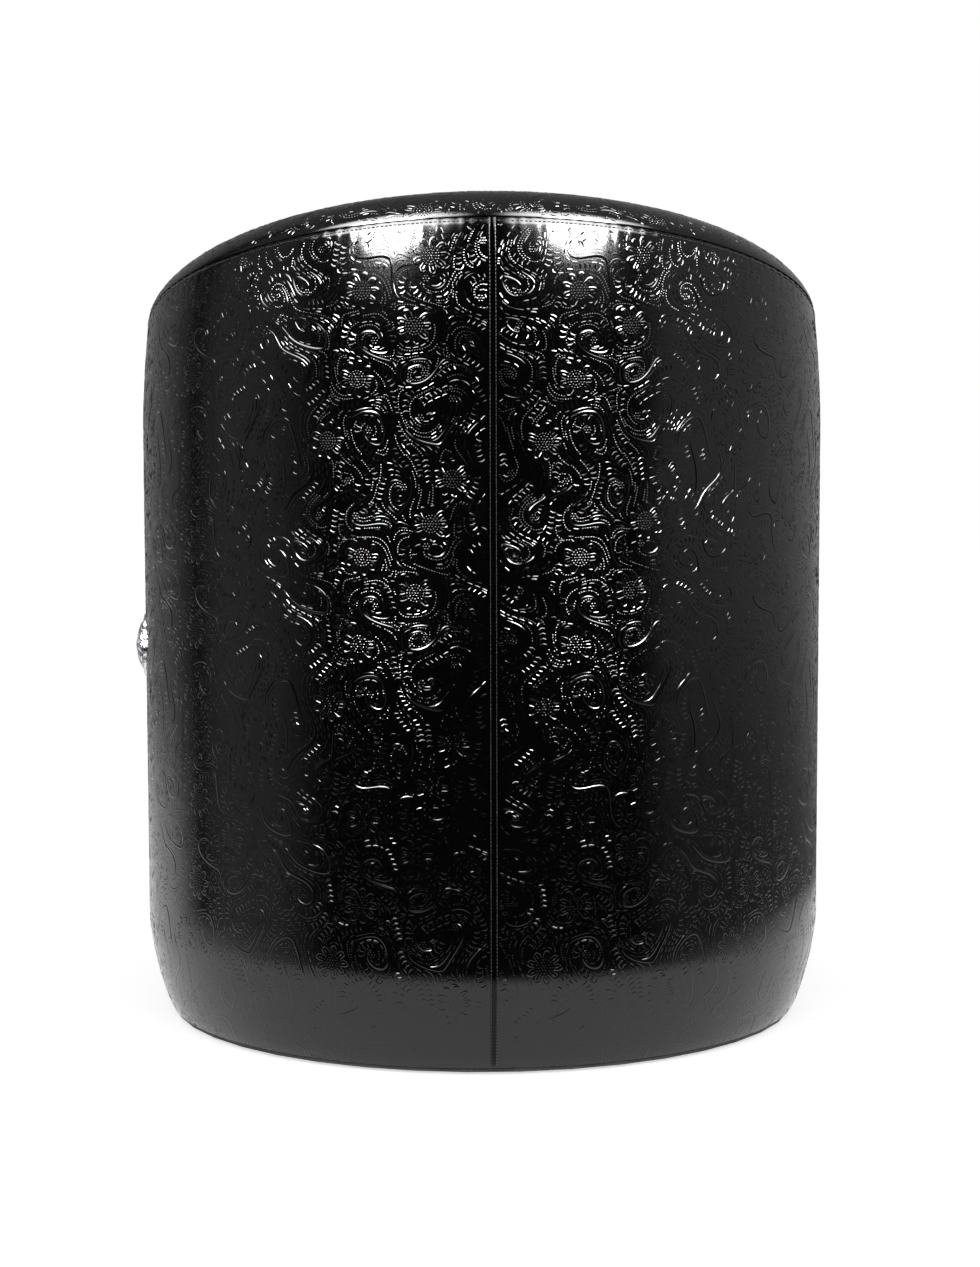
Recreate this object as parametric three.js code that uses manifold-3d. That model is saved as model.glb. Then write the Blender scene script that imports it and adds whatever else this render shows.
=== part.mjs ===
// Barrel chair in glossy embossed leather, with a sloping padded rim and a loose seat cushion.
// Millimetres, +Z up, the floor at z = 0, the barrel's axis on Z. The middle of the back is at -Y.
// A place on the barrel is given by its angle from the middle of the back, its radius and its height.

import * as THREE from 'three';
import * as BufferGeometryUtils from 'three/addons/utils/BufferGeometryUtils.js';
import Module from 'manifold-3d';

const wasm = await Module();
wasm.setup();

// Barrel
const bodyRadius = 335;
const backSeamHeight = 786;      // outer rim seam at the middle of the back
const armSeamHeight = 622;       // where the same seam would reach the arm fronts
const armEndAngle = THREE.MathUtils.degToRad(122);
const rimCrown = 23;             // padding above the rim seams
const rimInset = 12;             // the back bends in towards the outer rim seam
const rimInsetReach = 120;
const innerInset = 4.5;          // the inside bends out towards the inner rim seam
const innerInsetReach = 60;
const cornerRadius = 45;         // the rim's turn down the arm front
const tuckInset = 23;            // the barrel rounds in at the bottom
const tuckHeight = 88;
const tuckPower = 1.32;

// Layers of the wall, from the outside in
const clearance = 0.3;
const deckClearance = 0.6;
const baseRingClearance = 1.5;
const cornerClearance = 0.9;     // the wadding is thinned where the wall turns down
const leather = 1.2;
const outerPadding = 14;
const shellThickness = 5;
const postDepth = 20;
const linerThickness = 3;
const innerPadding = 35;

// Rim layers, measured down from the rim seams
const rimFoamDepth = 4;
const rimGlueGap = 1.2;          // glue line between the wall's top and the rim foam
const railHeight = 35;

// Base
const glideHeight = 2;
const glideRadius = 14;
const glideCount = 4;
const plinthThickness = 3.7;
const plinthInset = 25;          // the base stands back from the barrel
const ringWidth = 46;
const baseRingThickness = 18;
const dustCoverThickness = 1;
const tuckLip = 26;              // leather turned under the base ring
const shellRise = 4;             // gap between base ring and shell board, covered by wadding

// Seat
const seatRingTop = 262;
const seatRingThickness = 26;
const seatRingWidth = 38.6;
const strapWidth = 50;
const strapThickness = 1.2;
const strapCount = 5;
const strapSideRoom = 82.6;      // from the outermost strap's edge to the liner board
const strapEndInset = 3;
const borderTop = 298.5;         // leather of the front border, under the cushion
const deckCrown = 6;
const borderRadius = 26;         // soft front edge under the cushion
const borderSteps = 4;

// Cushion
const cushionClearance = 9;
const cushionSideInset = 39.8;   // the sides run straight inside the curve of the arms
const cushionFrontInset = 8;
const cushionFrontDraw = 6;      // the front edge pulls in between its corners
const cushionCornerRadius = 36;
const cushionBorderHeight = 108;
const cushionCrown = 26;
const borderBulge = 4;
const weltRadius = 3.5;
const weltSides = 5;
const crownShares = [0, 0.14, 0.42, 0.74];
const crownPower = 0.6;

// Rosette on the left side
const conchoAngle = -Math.PI / 2;
const conchoHeight = 365;
const conchoRadius = 31;
const conchoEdge = 2.4;
const conchoDome = 8.2;
const conchoPetals = 12;
const petalDepth = 1.5;
const petalScallop = 1.6;
const screwRadius = 2;
const screwHoleRadius = 2.6;
const screwHeadRadius = 5;
const screwHeadHeight = 2.6;
const washerRadius = 9;
const washerThickness = 1.6;
const screwSides = 8;
const grooveShare = 0.86;
const domeShares = [0.92, 0.72, 0.46];
const bossShare = 0.2;
const bossRise = 1.3;

// Centre back seam
const seamStripWidth = 6;
const seamStripThickness = 1;

// Facets
const ringSegments = 40;
const postCellCount = 4;         // posts and stiles stand in every fourth facet
const cornerSteps = 3;
const cornerPasses = 8;
const crownSteps = 8;
const deckSteps = 3;
const roundSides = 16;
const petalSides = 4;
const cushionBackSteps = 22;
const cushionFrontSteps = 6;
const cushionCornerSteps = 3;
const alikeShare = 0.001;
const leastCellShare = 0.25;     // a facet narrower than this share of a cell is joined to its neighbour
const tuckShares = [0, 0.08, 0.25, 0.52, 1];
const bendShares = [0, 0.34, 0.67, 1];
const footShares = [0.25, 0.5, 1];

// Radii that follow from the layers
const fullTurn = 2 * Math.PI;
const step = fullTurn / ringSegments;
const skinInside = bodyRadius - leather;
const paddingOutside = skinInside - clearance;
const paddingInside = paddingOutside - outerPadding;
const shellOutside = paddingInside - clearance;
const shellInside = shellOutside - shellThickness;
const postOutside = shellInside - clearance;
const postInside = postOutside - postDepth;
const linerOutside = postInside - clearance;
const linerInside = linerOutside - linerThickness;
const innerPadOutside = linerInside - clearance;
const innerPadInside = innerPadOutside - innerPadding;
const coverOutside = innerPadInside - clearance;
const coverInside = coverOutside - leather;
const wallMiddle = (bodyRadius + coverInside) / 2;
const cushionCentreY = (bodyRadius - coverInside) / 2;
const cushionHalfWidth = coverInside - cushionClearance - cushionSideInset;
const plinthRadius = bodyRadius - plinthInset;
const plinthInside = plinthRadius - ringWidth;
const strapReach = linerInside - strapEndInset;
const strapPitch = 2 * (strapReach - strapSideRoom - strapWidth / 2) / (strapCount - 1);

// Heights that follow from the layers
const plinthBottom = glideHeight + clearance;
const lipBottom = plinthBottom + plinthThickness + clearance;
const baseRingBottom = lipBottom + leather + clearance;
const baseRingTop = baseRingBottom + baseRingThickness;
const shellBottom = baseRingTop + shellRise;
const strapBottom = seatRingTop + clearance;
const crossStrapBottom = strapBottom + strapThickness + clearance;
const seatPadBottom = crossStrapBottom + strapThickness + clearance;
const deckTop = borderTop + clearance;
const cushionBottom = deckTop + clearance;
const wallTop = -rimFoamDepth - rimGlueGap;
const skinGap = leather + clearance;
const cornerGap = skinGap + cornerClearance;
const frontPadInside = innerPadInside + clearance;
const baseRingRadius = bodyRadius - tuckInset - skinGap - baseRingClearance;
const lipRadius = bodyRadius - tuckInset - tuckLip;

const materials = {
  leather: new THREE.MeshStandardMaterial({ color: 0x121113, roughness: 0.22, metalness: 0 }),
  foam: new THREE.MeshStandardMaterial({ color: 0xe6dfc8, roughness: 0.95, metalness: 0 }),
  wadding: new THREE.MeshStandardMaterial({ color: 0xf2f0ea, roughness: 1, metalness: 0 }),
  board: new THREE.MeshStandardMaterial({ color: 0x8d6b48, roughness: 0.8, metalness: 0 }),
  hardwood: new THREE.MeshStandardMaterial({ color: 0xc19a6b, roughness: 0.7, metalness: 0 }),
  webbing: new THREE.MeshStandardMaterial({ color: 0x4a3f35, roughness: 0.9, metalness: 0 }),
  blackBase: new THREE.MeshStandardMaterial({ color: 0x0c0c0c, roughness: 0.6, metalness: 0 }),
  dustCloth: new THREE.MeshStandardMaterial({ color: 0x161616, roughness: 1, metalness: 0 }),
  nylon: new THREE.MeshStandardMaterial({ color: 0xd8d6d0, roughness: 0.5, metalness: 0 }),
  silver: new THREE.MeshStandardMaterial({ color: 0xc9cacd, roughness: 0.28, metalness: 1 }),
  steel: new THREE.MeshStandardMaterial({ color: 0x9a9da1, roughness: 0.4, metalness: 1 }),
};

const chair = new THREE.Group();

function addMesh(name, geometry, material) {
  const mesh = new THREE.Mesh(geometry, material);
  mesh.name = name;
  chair.add(mesh);
  return mesh;
}

function at(angle, radius, height) {
  return [radius * Math.sin(angle), -radius * Math.cos(angle), height];
}

// A closed body from its points and triangles, turned so that its faces point out.
function solid(points, triangles) {
  const corner = (index) => new THREE.Vector3(...points[index]);
  let volume = 0;
  for (const [a, b, c] of triangles) {
    volume += corner(a).dot(corner(b).cross(corner(c)));
  }
  const faces = volume < 0 ? triangles.map(([a, b, c]) => [a, c, b]) : triangles;
  const geometry = new THREE.BufferGeometry();
  geometry.setAttribute('position', new THREE.Float32BufferAttribute(points.flat(), 3));
  geometry.setIndex(faces.flat());
  geometry.computeVertexNormals();
  return geometry;
}

// Closed sections of equal point count, joined one to the next, and for a ring the last to the first.
// Each cell is split along its shorter diagonal, or from its inner point on the first section where they
// are alike, so that pieces that lie on each other share their facets.
function loft(sections, ring = false) {
  const count = sections[0].length;
  const triangles = [];
  const reach = ([x, y]) => Math.hypot(x, y);
  const span = (p, q) => Math.hypot(p[0] - q[0], p[1] - q[1], p[2] - q[2]);
  const links = ring ? sections.length : sections.length - 1;
  for (let i = 0; i < links; i += 1) {
    const next = (i + 1) % sections.length;
    for (let j = 0; j < count; j += 1) {
      const k = (j + 1) % count;
      const [a, b, c, d] = [i * count + j, next * count + j, next * count + k, i * count + k];
      const first = span(sections[i][j], sections[next][k]);
      const second = span(sections[next][j], sections[i][k]);
      const alike = Math.abs(first - second) < alikeShare * (first + second);
      if (alike ? reach(sections[i][j]) <= reach(sections[i][k]) : first < second) {
        triangles.push([a, b, c], [a, c, d]);
      } else {
        triangles.push([a, b, d], [b, c, d]);
      }
    }
  }
  return { points: sections.flat(), triangles, count };
}

// The same as a closed body, whose two end sections are also given in their own plane and capped.
function cappedLoft(sections, startPlane, endPlane) {
  const { points, triangles, count } = loft(sections);
  const cap = (plane, first, isEnd) => {
    const corners = plane.map(([x, y]) => new THREE.Vector2(x, y));
    const flip = THREE.ShapeUtils.isClockWise(corners) !== isEnd;
    for (const [a, b, c] of THREE.ShapeUtils.triangulateShape(corners, [])) {
      triangles.push(flip ? [first + a, first + c, first + b] : [first + a, first + b, first + c]);
    }
  };
  cap(startPlane, 0, false);
  cap(endPlane, (sections.length - 1) * count, true);
  return solid(points, triangles);
}

// A wall piece: at each angle its section is an outline of [radius, height] points.
function wallPiece(unsorted, outlineAt) {
  const angles = [...unsorted].sort((a, b) => a - b);
  const planes = angles.map(outlineAt);
  const sections = planes.map((plane, i) => plane.map(([r, z]) => at(angles[i], r, z)));
  return cappedLoft(sections, planes[0], planes[planes.length - 1]);
}

// A ring all round the barrel with one section.
function ringPiece(plane) {
  const sections = [];
  for (let i = 0; i < ringSegments; i += 1) {
    sections.push(plane.map(([r, z]) => at((i + 0.5) * step, r, z)));
  }
  const { points, triangles } = loft(sections, true);
  return solid(points, triangles);
}

function rectangle(inside, outside, bottom, top) {
  return [[inside, bottom], [outside, bottom], [outside, top], [inside, top]];
}

// Rim line: along the top it is a sloping cut through the barrel, then an arc turns it down the arm front.
// Its run is measured along the middle of the wall, and an offset lies above or in front of it.
const rimFall = (backSeamHeight - armSeamHeight) / (1 - Math.cos(armEndAngle));
const armEndRun = armEndAngle * wallMiddle;

function seamHeight(angle) {
  return backSeamHeight - rimFall * (1 - Math.cos(angle));
}

function seamSlope(angle) {
  return rimFall * Math.sin(angle) / wallMiddle;
}

let cornerStart = armEndAngle;
for (let pass = 0; pass < cornerPasses; pass += 1) {
  const lean = Math.atan(seamSlope(cornerStart));
  cornerStart = (armEndRun - cornerRadius * (1 - Math.sin(lean))) / wallMiddle;
}
const cornerLean = Math.atan(seamSlope(cornerStart));
const cornerRun = armEndRun - cornerRadius;
const cornerHeight = seamHeight(cornerStart) - cornerRadius * Math.cos(cornerLean);

function edgeEnd(offset) {
  return (armEndRun + offset) / wallMiddle;
}

function edgeHeight(signedAngle, offset) {
  const angle = Math.abs(signedAngle);
  const radius = cornerRadius + offset;
  const beyond = angle * wallMiddle - cornerRun;
  if (beyond > radius * Math.sin(cornerLean)) {
    return cornerHeight + Math.sqrt(Math.max(radius * radius - beyond * beyond, 0));
  }
  return seamHeight(angle) + offset * Math.hypot(1, seamSlope(angle));
}

function cornerAngles(offset) {
  const angles = [];
  for (let i = 0; i <= cornerSteps; i += 1) {
    const lean = THREE.MathUtils.lerp(cornerLean, Math.PI / 2, i / cornerSteps);
    angles.push((cornerRun + (cornerRadius + offset) * Math.sin(lean)) / wallMiddle);
  }
  return angles;
}

// Column angles of a wall piece on the right half, from the first cell edge to the arm front.
function halfAngles(offset) {
  const angles = [];
  for (let angle = step / 2; angle < cornerStart - leastCellShare * step; angle += step) {
    angles.push(angle);
  }
  return angles.concat(cornerAngles(offset));
}

function wallAngles(offset) {
  const half = halfAngles(offset);
  return half.map((angle) => -angle).reverse().concat(half);
}

// Outside of the leather at a height, where the rim seam above it is at rimHeight.
function skinRadius(height, rimHeight) {
  const rise = (height - lipBottom) / tuckHeight;
  let radius = bodyRadius;
  if (rise < 1) {
    const turn = Math.acos(Math.pow(Math.max(1 - rise, 0), tuckPower / 2));
    radius -= tuckInset * (1 - Math.pow(Math.sin(turn), 2 / tuckPower));
  }
  const near = 1 - (rimHeight - height) / rimInsetReach;
  return near > 0 ? radius - rimInset * near * near : radius;
}

function insideRadius(height, rimHeight) {
  const near = 1 - (rimHeight - height) / innerInsetReach;
  return near > 0 ? coverInside + innerInset * near * near : coverInside;
}

// Heights at which the outer skin changes direction, from the bottom up to where the rounding-in ends.
function tuckHeights(bottom) {
  return [bottom, ...tuckShares.map((share) => lipBottom + tuckHeight * share).filter((z) => z > bottom)];
}

// Heights over which a skin bends towards its rim seam, from where the bend starts up to a top.
function bendHeights(rim, top, reach) {
  return bendShares.map((share) => THREE.MathUtils.lerp(rim - reach, top, share));
}

// Frame: base ring, seat ring, posts, stiles, top rail and boards
function buildFrame() {
  addMesh('base_ring', ringPiece(rectangle(baseRingRadius - ringWidth, baseRingRadius, baseRingBottom,
    baseRingTop)), materials.hardwood);
  addMesh('seat_ring', ringPiece(rectangle(linerOutside - seatRingWidth, linerOutside,
    seatRingTop - seatRingThickness, seatRingTop)), materials.hardwood);

  const postBottom = baseRingTop + clearance;
  const underRail = wallTop - railHeight - clearance;
  const cells = {
    post_back: 0,
    post_back_right: postCellCount,
    post_back_left: -postCellCount,
    post_side_right: 2 * postCellCount,
    post_side_left: -2 * postCellCount,
  };
  for (const [name, cell] of Object.entries(cells)) {
    const angles = [(cell - 0.5) * step, (cell + 0.5) * step];
    addMesh(name, wallPiece(angles, (angle) => rectangle(postInside, postOutside, postBottom,
      edgeHeight(angle, underRail))), materials.hardwood);
  }

  const half = halfAngles(wallTop);
  const railEnd = half.length - cornerSteps - 2;
  const railAngles = half.slice(0, railEnd + 1);
  addMesh('top_rail', wallPiece([...railAngles.map((angle) => -angle).reverse(), ...railAngles],
    (angle) => rectangle(postInside, postOutside, edgeHeight(angle, wallTop - railHeight),
      edgeHeight(angle, wallTop))), materials.hardwood);

  const armPost = half.slice(railEnd);
  armPost[0] += clearance / postInside;
  for (const [name, side] of [['post_arm_right', 1], ['post_arm_left', -1]]) {
    const angles = armPost.map((angle) => side * angle);
    addMesh(name, wallPiece(angles, (angle) => rectangle(postInside, postOutside, postBottom,
      edgeHeight(angle, wallTop))), materials.hardwood);
  }

  const frontCell = ringSegments / 2;
  const stileCells = {
    stile_front_right: frontCell - postCellCount,
    stile_front_middle: frontCell,
    stile_front_left: frontCell + postCellCount,
  };
  for (const [name, cell] of Object.entries(stileCells)) {
    const angles = [(cell - 0.5) * step, (cell + 0.5) * step];
    addMesh(name, wallPiece(angles, () => rectangle(postInside, postOutside, postBottom, seatRingTop)),
      materials.hardwood);
  }

  const shell = wallPiece(wallAngles(wallTop), (angle) => rectangle(shellInside, shellOutside, shellBottom,
    edgeHeight(angle, wallTop)));
  addMesh('shell_board', drilled(shell), materials.board);
  const liner = wallPiece(wallAngles(wallTop), (angle) => rectangle(linerInside, linerOutside,
    seatRingTop + clearance, edgeHeight(angle, wallTop)));
  addMesh('liner_board', liner, materials.board);
  const front = wallPiece(frontAngles(wallTop + clearance), () => rectangle(shellInside, shellOutside,
    shellBottom, seatRingTop));
  addMesh('front_board', front, materials.board);
}

// Angles across the front, from one arm front to the other.
function frontAngles(offset) {
  const start = edgeEnd(offset);
  const angles = [start];
  const least = leastCellShare * step;
  for (let angle = step / 2; angle < fullTurn - start - least; angle += step) {
    if (angle > start + least) {
      angles.push(angle);
    }
  }
  return [...angles, fullTurn - start];
}

// Webbing: straps along the seat, and straps across above them, ending on the seat ring.
function buildWebbing() {
  for (let i = 0; i < strapCount; i += 1) {
    const offset = (i - (strapCount - 1) / 2) * strapPitch;
    const edge = Math.abs(offset) + strapWidth / 2;
    const length = 2 * Math.sqrt(strapReach * strapReach - edge * edge);
    const along = new THREE.BoxGeometry(strapWidth, length, strapThickness);
    const long = addMesh(`webbing_long_${i + 1}`, along, materials.webbing);
    long.position.set(offset, 0, strapBottom + strapThickness / 2);
    const across = new THREE.BoxGeometry(length, strapWidth, strapThickness);
    const cross = addMesh(`webbing_cross_${i + 1}`, across, materials.webbing);
    cross.position.set(0, offset, crossStrapBottom + strapThickness / 2);
  }
}

// Padding of the wall, the rim and the front, and the deck under the cushion
function buildPadding() {
  const slantTop = shellBottom - clearance;

  addMesh('outer_wadding', drilled(wallPiece(wallAngles(wallTop), (angle) => {
    const rim = edgeHeight(angle, 0);
    const top = edgeHeight(angle, wallTop);
    const outside = [...tuckHeights(baseRingBottom), ...bendHeights(rim, top, rimInsetReach)];
    const gap = Math.abs(angle) > cornerStart ? cornerGap : skinGap;
    return [...outside.map((z) => [skinRadius(z, rim) - gap, z]), [paddingInside, top],
      [paddingInside, slantTop], [baseRingRadius + clearance, baseRingBottom]];
  })), materials.wadding);

  addMesh('inside_foam', wallPiece(wallAngles(wallTop), (angle) => {
    const rim = edgeHeight(angle, 0);
    const top = edgeHeight(angle, wallTop);
    const inside = [seatPadBottom, ...bendHeights(rim, top, innerInsetReach)];
    return [[innerPadOutside, top], [innerPadOutside, seatPadBottom],
      ...inside.map((z) => [insideRadius(z, rim) + skinGap, z])];
  }), materials.foam);

  addMesh('front_wadding', wallPiece(frontAngles(wallTop + clearance), () => {
    const outside = tuckHeights(baseRingBottom);
    return [...outside.map((z) => [skinRadius(z, backSeamHeight) - skinGap, z]), ...borderArc(skinGap),
      [frontPadInside, borderTop - skinGap], [frontPadInside, seatPadBottom],
      [paddingInside, seatPadBottom], [paddingInside, slantTop],
      [baseRingRadius + clearance, baseRingBottom]];
  }), materials.wadding);

  const deckRadius = coverInside - deckClearance;
  const deckSection = [[0, seatPadBottom], [deckRadius, seatPadBottom]];
  for (let i = 0; i <= deckSteps; i += 1) {
    const share = 1 - i / deckSteps;
    deckSection.push([deckRadius * share, deckTop - deckCrown * share * share]);
  }
  const deck = new THREE.LatheGeometry(deckSection.map(([r, z]) => new THREE.Vector2(r, z)), ringSegments,
    step / 2);
  deck.rotateX(Math.PI / 2);
  addMesh('seat_deck', deck, materials.wadding);

  addMesh('rim_foam', cut(rimPiece(rimFoamSection), footCutter()), materials.foam);
}

// The front border's soft top edge, drawn in by a gap on both faces.
function borderArc(gap) {
  const points = [];
  const centre = bodyRadius - borderRadius;
  for (let i = 0; i <= borderSteps; i += 1) {
    const turn = (Math.PI / 2) * i / borderSteps;
    points.push([centre + (borderRadius - gap) * Math.cos(turn),
      borderTop - borderRadius + (borderRadius - gap) * Math.sin(turn)]);
  }
  return points;
}

// Stations along the rim line, each with its run, height and the direction that its padding rises in.
function rimStations() {
  const right = [];
  for (const angle of halfAngles(0).slice(0, -cornerSteps - 1)) {
    const lean = Math.atan(seamSlope(angle));
    right.push({ run: angle * wallMiddle, height: seamHeight(angle), lean, column: seamHeight(angle) });
  }
  for (let i = 0; i <= cornerSteps; i += 1) {
    const lean = THREE.MathUtils.lerp(cornerLean, Math.PI / 2, i / cornerSteps);
    const height = cornerHeight + cornerRadius * Math.cos(lean);
    right.push({ run: cornerRun + cornerRadius * Math.sin(lean), height, lean, column: height });
  }
  for (const share of footShares) {
    const height = THREE.MathUtils.lerp(cornerHeight, borderTop - borderRadius, share);
    right.push({ run: armEndRun, height, lean: Math.PI / 2, column: cornerHeight });
  }
  const left = right.map(({ run, height, lean, column }) => ({ run: -run, height, lean: -lean, column }));
  const middle = { run: 0, height: backSeamHeight, lean: 0, column: backSeamHeight };
  return [...left.reverse(), middle, ...right];
}

// A piece that follows the rim line: its section is an outline of [radius, offset] points.
function rimPiece(sectionAt) {
  const stations = rimStations();
  const planes = stations.map(sectionAt);
  const sections = planes.map((plane, i) => plane.map(([r, offset]) => {
    const { run, height, lean } = stations[i];
    return at((run + offset * Math.sin(lean)) / wallMiddle, r, height + offset * Math.cos(lean));
  }));
  return cappedLoft(sections, planes[0], planes[planes.length - 1]);
}

// Crowned line over the rim from the outer seam to the inner seam, drawn in by a gap.
function crownLine(outer, inner, gap) {
  const points = [];
  for (let i = 0; i <= crownSteps; i += 1) {
    const turn = Math.PI * i / crownSteps;
    const half = (outer - inner) / 2 - gap;
    points.push([(outer + inner) / 2 + half * Math.cos(turn), (rimCrown - gap) * Math.sin(turn)]);
  }
  return points;
}

function rimFoamSection({ height, column }) {
  const outer = skinRadius(height, column);
  const inner = insideRadius(height, column);
  return [[inner + skinGap, -rimFoamDepth], [outer - skinGap, -rimFoamDepth],
    ...crownLine(outer, inner, skinGap)];
}

function rimBandSection({ height, column }) {
  const outer = skinRadius(height, column);
  const inner = insideRadius(height, column);
  const lift = ([r, offset]) => [r, offset + clearance / 2];
  return [...crownLine(outer, inner, 0).map(lift), ...crownLine(outer, inner, leather).reverse().map(lift)];
}

// The space that the front border takes under the arm fronts.
function footCutter() {
  const plane = [[coverInside - borderRadius, 0], [bodyRadius + borderRadius, 0],
    [bodyRadius + borderRadius, borderTop - borderRadius], ...borderArc(-clearance),
    [coverInside - borderRadius, borderTop + clearance]];
  return ringPiece(plane);
}

function toManifold(geometry) {
  const bare = geometry.clone();
  bare.deleteAttribute('normal');
  bare.deleteAttribute('uv');
  const merged = BufferGeometryUtils.mergeVertices(bare);
  return new wasm.Manifold(new wasm.Mesh({
    numProp: 3,
    vertProperties: new Float32Array(merged.attributes.position.array),
    triVerts: new Uint32Array(merged.index.array),
  }));
}

function fromManifold(manifold) {
  const { vertProperties, triVerts } = manifold.getMesh();
  const geometry = new THREE.BufferGeometry();
  geometry.setAttribute('position', new THREE.BufferAttribute(vertProperties, 3));
  geometry.setIndex(new THREE.BufferAttribute(triVerts, 1));
  geometry.computeVertexNormals();
  return geometry;
}

function cut(geometry, cutter) {
  return fromManifold(toManifold(geometry).subtract(toManifold(cutter)));
}

// Turns a shape whose axis is +Y to point outward at the rosette's place, its base at a radius.
function placeOutward(geometry, radius) {
  geometry.rotateZ(-Math.PI / 2);
  geometry.rotateZ(conchoAngle - Math.PI / 2);
  geometry.translate(...at(conchoAngle, radius, conchoHeight));
  return geometry;
}

// The hole for the rosette's screw, through a layer of the wall.
function drilled(geometry) {
  const length = bodyRadius + leather - postInside;
  const drill = new THREE.CylinderGeometry(screwHoleRadius, screwHoleRadius, length, screwSides);
  return cut(geometry, placeOutward(drill, postInside + length / 2));
}

// A turned shape about +Y from an outline of [radius, height] points that closes on itself.
function turned(outline, segments) {
  return new THREE.LatheGeometry(outline.map(([r, y]) => new THREE.Vector2(r, y)), segments);
}

// Rosette: a scalloped, stepped edge, a fluted dome of petals and a round boss in the middle.
function rosette() {
  const rings = [];
  const ring = (share, height, flute, scallop) => {
    const points = [];
    const count = conchoPetals * petalSides;
    for (let i = 0; i < count; i += 1) {
      const turn = i * fullTurn / count;
      const wave = Math.cos(conchoPetals * turn);
      const radius = conchoRadius * share + scallop * wave;
      points.push([radius * Math.cos(turn), height + flute * wave, radius * Math.sin(turn)]);
    }
    rings.push(points);
  };
  ring(1, 0, 0, petalScallop);
  ring(1, conchoEdge, 0, petalScallop);
  ring(grooveShare, conchoEdge, 0, petalScallop / 2);
  for (const share of domeShares) {
    const rise = conchoDome * Math.sqrt(1 - share * share);
    ring(share * grooveShare, conchoEdge + rise, petalDepth * share, petalScallop * share / 2);
  }
  ring(bossShare, conchoEdge + conchoDome, 0, 0);
  ring(bossShare / 2, conchoEdge + conchoDome + bossRise, 0, 0);
  return stacked(rings, [0, 0, 0], [0, conchoEdge + conchoDome + bossRise, 0]);
}

// The rosette sits on a facet of the leather, and a screw with a washer holds it from inside the shell.
function buildRosette() {
  const facet = Math.cos(step / 2);
  const seat = bodyRadius * facet + clearance;
  const washerOutside = shellInside * facet - clearance;
  const headOutside = washerOutside - washerThickness - clearance;
  addMesh('concho', placeOutward(rosette(), seat), materials.silver);
  const washer = turned([[screwHoleRadius, 0], [washerRadius, 0], [washerRadius, washerThickness],
    [screwHoleRadius, washerThickness], [screwHoleRadius, 0]], roundSides);
  placeOutward(washer, washerOutside - washerThickness);
  addMesh('concho_washer', washer, materials.steel);
  const shank = seat - clearance - headOutside + screwHeadHeight;
  const screw = turned([[0, 0], [screwHeadRadius, 0], [screwHeadRadius, screwHeadHeight],
    [screwRadius, screwHeadHeight], [screwRadius, shank], [0, shank]], screwSides);
  placeOutward(screw, headOutside - screwHeadHeight);
  addMesh('concho_screw', screw, materials.steel);
}

// Leather: outside back in two panels, rim band, inside and front border
function buildCovers() {
  const seamOffset = -clearance / 2;
  for (const [name, side] of [['outside_back_right', 1], ['outside_back_left', -1]]) {
    const angles = [clearance / 2 / bodyRadius, ...halfAngles(seamOffset)].map((angle) => side * angle);
    const panel = wallPiece(angles, (angle) => outerSkinSection(edgeHeight(angle, seamOffset),
      edgeHeight(angle, 0)));
    addMesh(name, side < 0 ? drilled(panel) : panel, materials.leather);
  }
  addMesh('back_seam_strip', wallPiece([-seamStripWidth / 2 / bodyRadius, seamStripWidth / 2 / bodyRadius],
    () => {
      const bend = bendHeights(backSeamHeight, backSeamHeight, rimInsetReach);
      const heights = [...tuckHeights(lipBottom), ...bend];
      const inner = heights.map((z) => [skinRadius(z, backSeamHeight) + clearance, z]);
      const outer = heights.map((z) => [skinRadius(z, backSeamHeight) + clearance + seamStripThickness, z]);
      return [...inner, ...outer.reverse()];
    }), materials.leather);

  addMesh('rim_band', cut(rimPiece(rimBandSection), footCutter()), materials.leather);

  addMesh('inside_cover', wallPiece(wallAngles(seamOffset), (angle) => {
    const rim = edgeHeight(angle, 0);
    const top = edgeHeight(angle, seamOffset);
    const heights = [seatPadBottom, ...bendHeights(rim, top, innerInsetReach)];
    const inner = heights.map((z) => [insideRadius(z, rim), z]);
    const outer = heights.map((z) => [insideRadius(z, rim) + leather, z]);
    return [...inner, ...outer.reverse()];
  }), materials.leather);

  addMesh('front_cover', wallPiece(frontAngles(clearance / 2), () => {
    const heights = tuckHeights(lipBottom);
    const outer = heights.map((z) => [skinRadius(z, backSeamHeight), z]);
    const inner = heights.slice(1).map((z) => [skinRadius(z, backSeamHeight) - leather, z]);
    const lip = lipBottom + leather;
    return [[lipRadius, lipBottom], ...outer, ...borderArc(0), [innerPadInside, borderTop],
      [innerPadInside, borderTop - leather], ...borderArc(leather).reverse(), ...inner.reverse(),
      [skinRadius(lip, backSeamHeight) - leather, lip], [lipRadius, lip]];
  }), materials.leather);
}

// Section of an outside panel: turned under the base, rounded, straight, then bent in to the rim seam.
function outerSkinSection(top, rim) {
  const heights = [...tuckHeights(lipBottom), ...bendHeights(rim, top, rimInsetReach)];
  const outer = heights.map((z) => [skinRadius(z, rim), z]);
  const inner = heights.slice(1).map((z) => [skinRadius(z, rim) - leather, z]);
  const lip = lipBottom + leather;
  return [[lipRadius, lipBottom], ...outer, ...inner.reverse(), [skinRadius(lip, rim) - leather, lip],
    [lipRadius, lip]];
}

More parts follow.
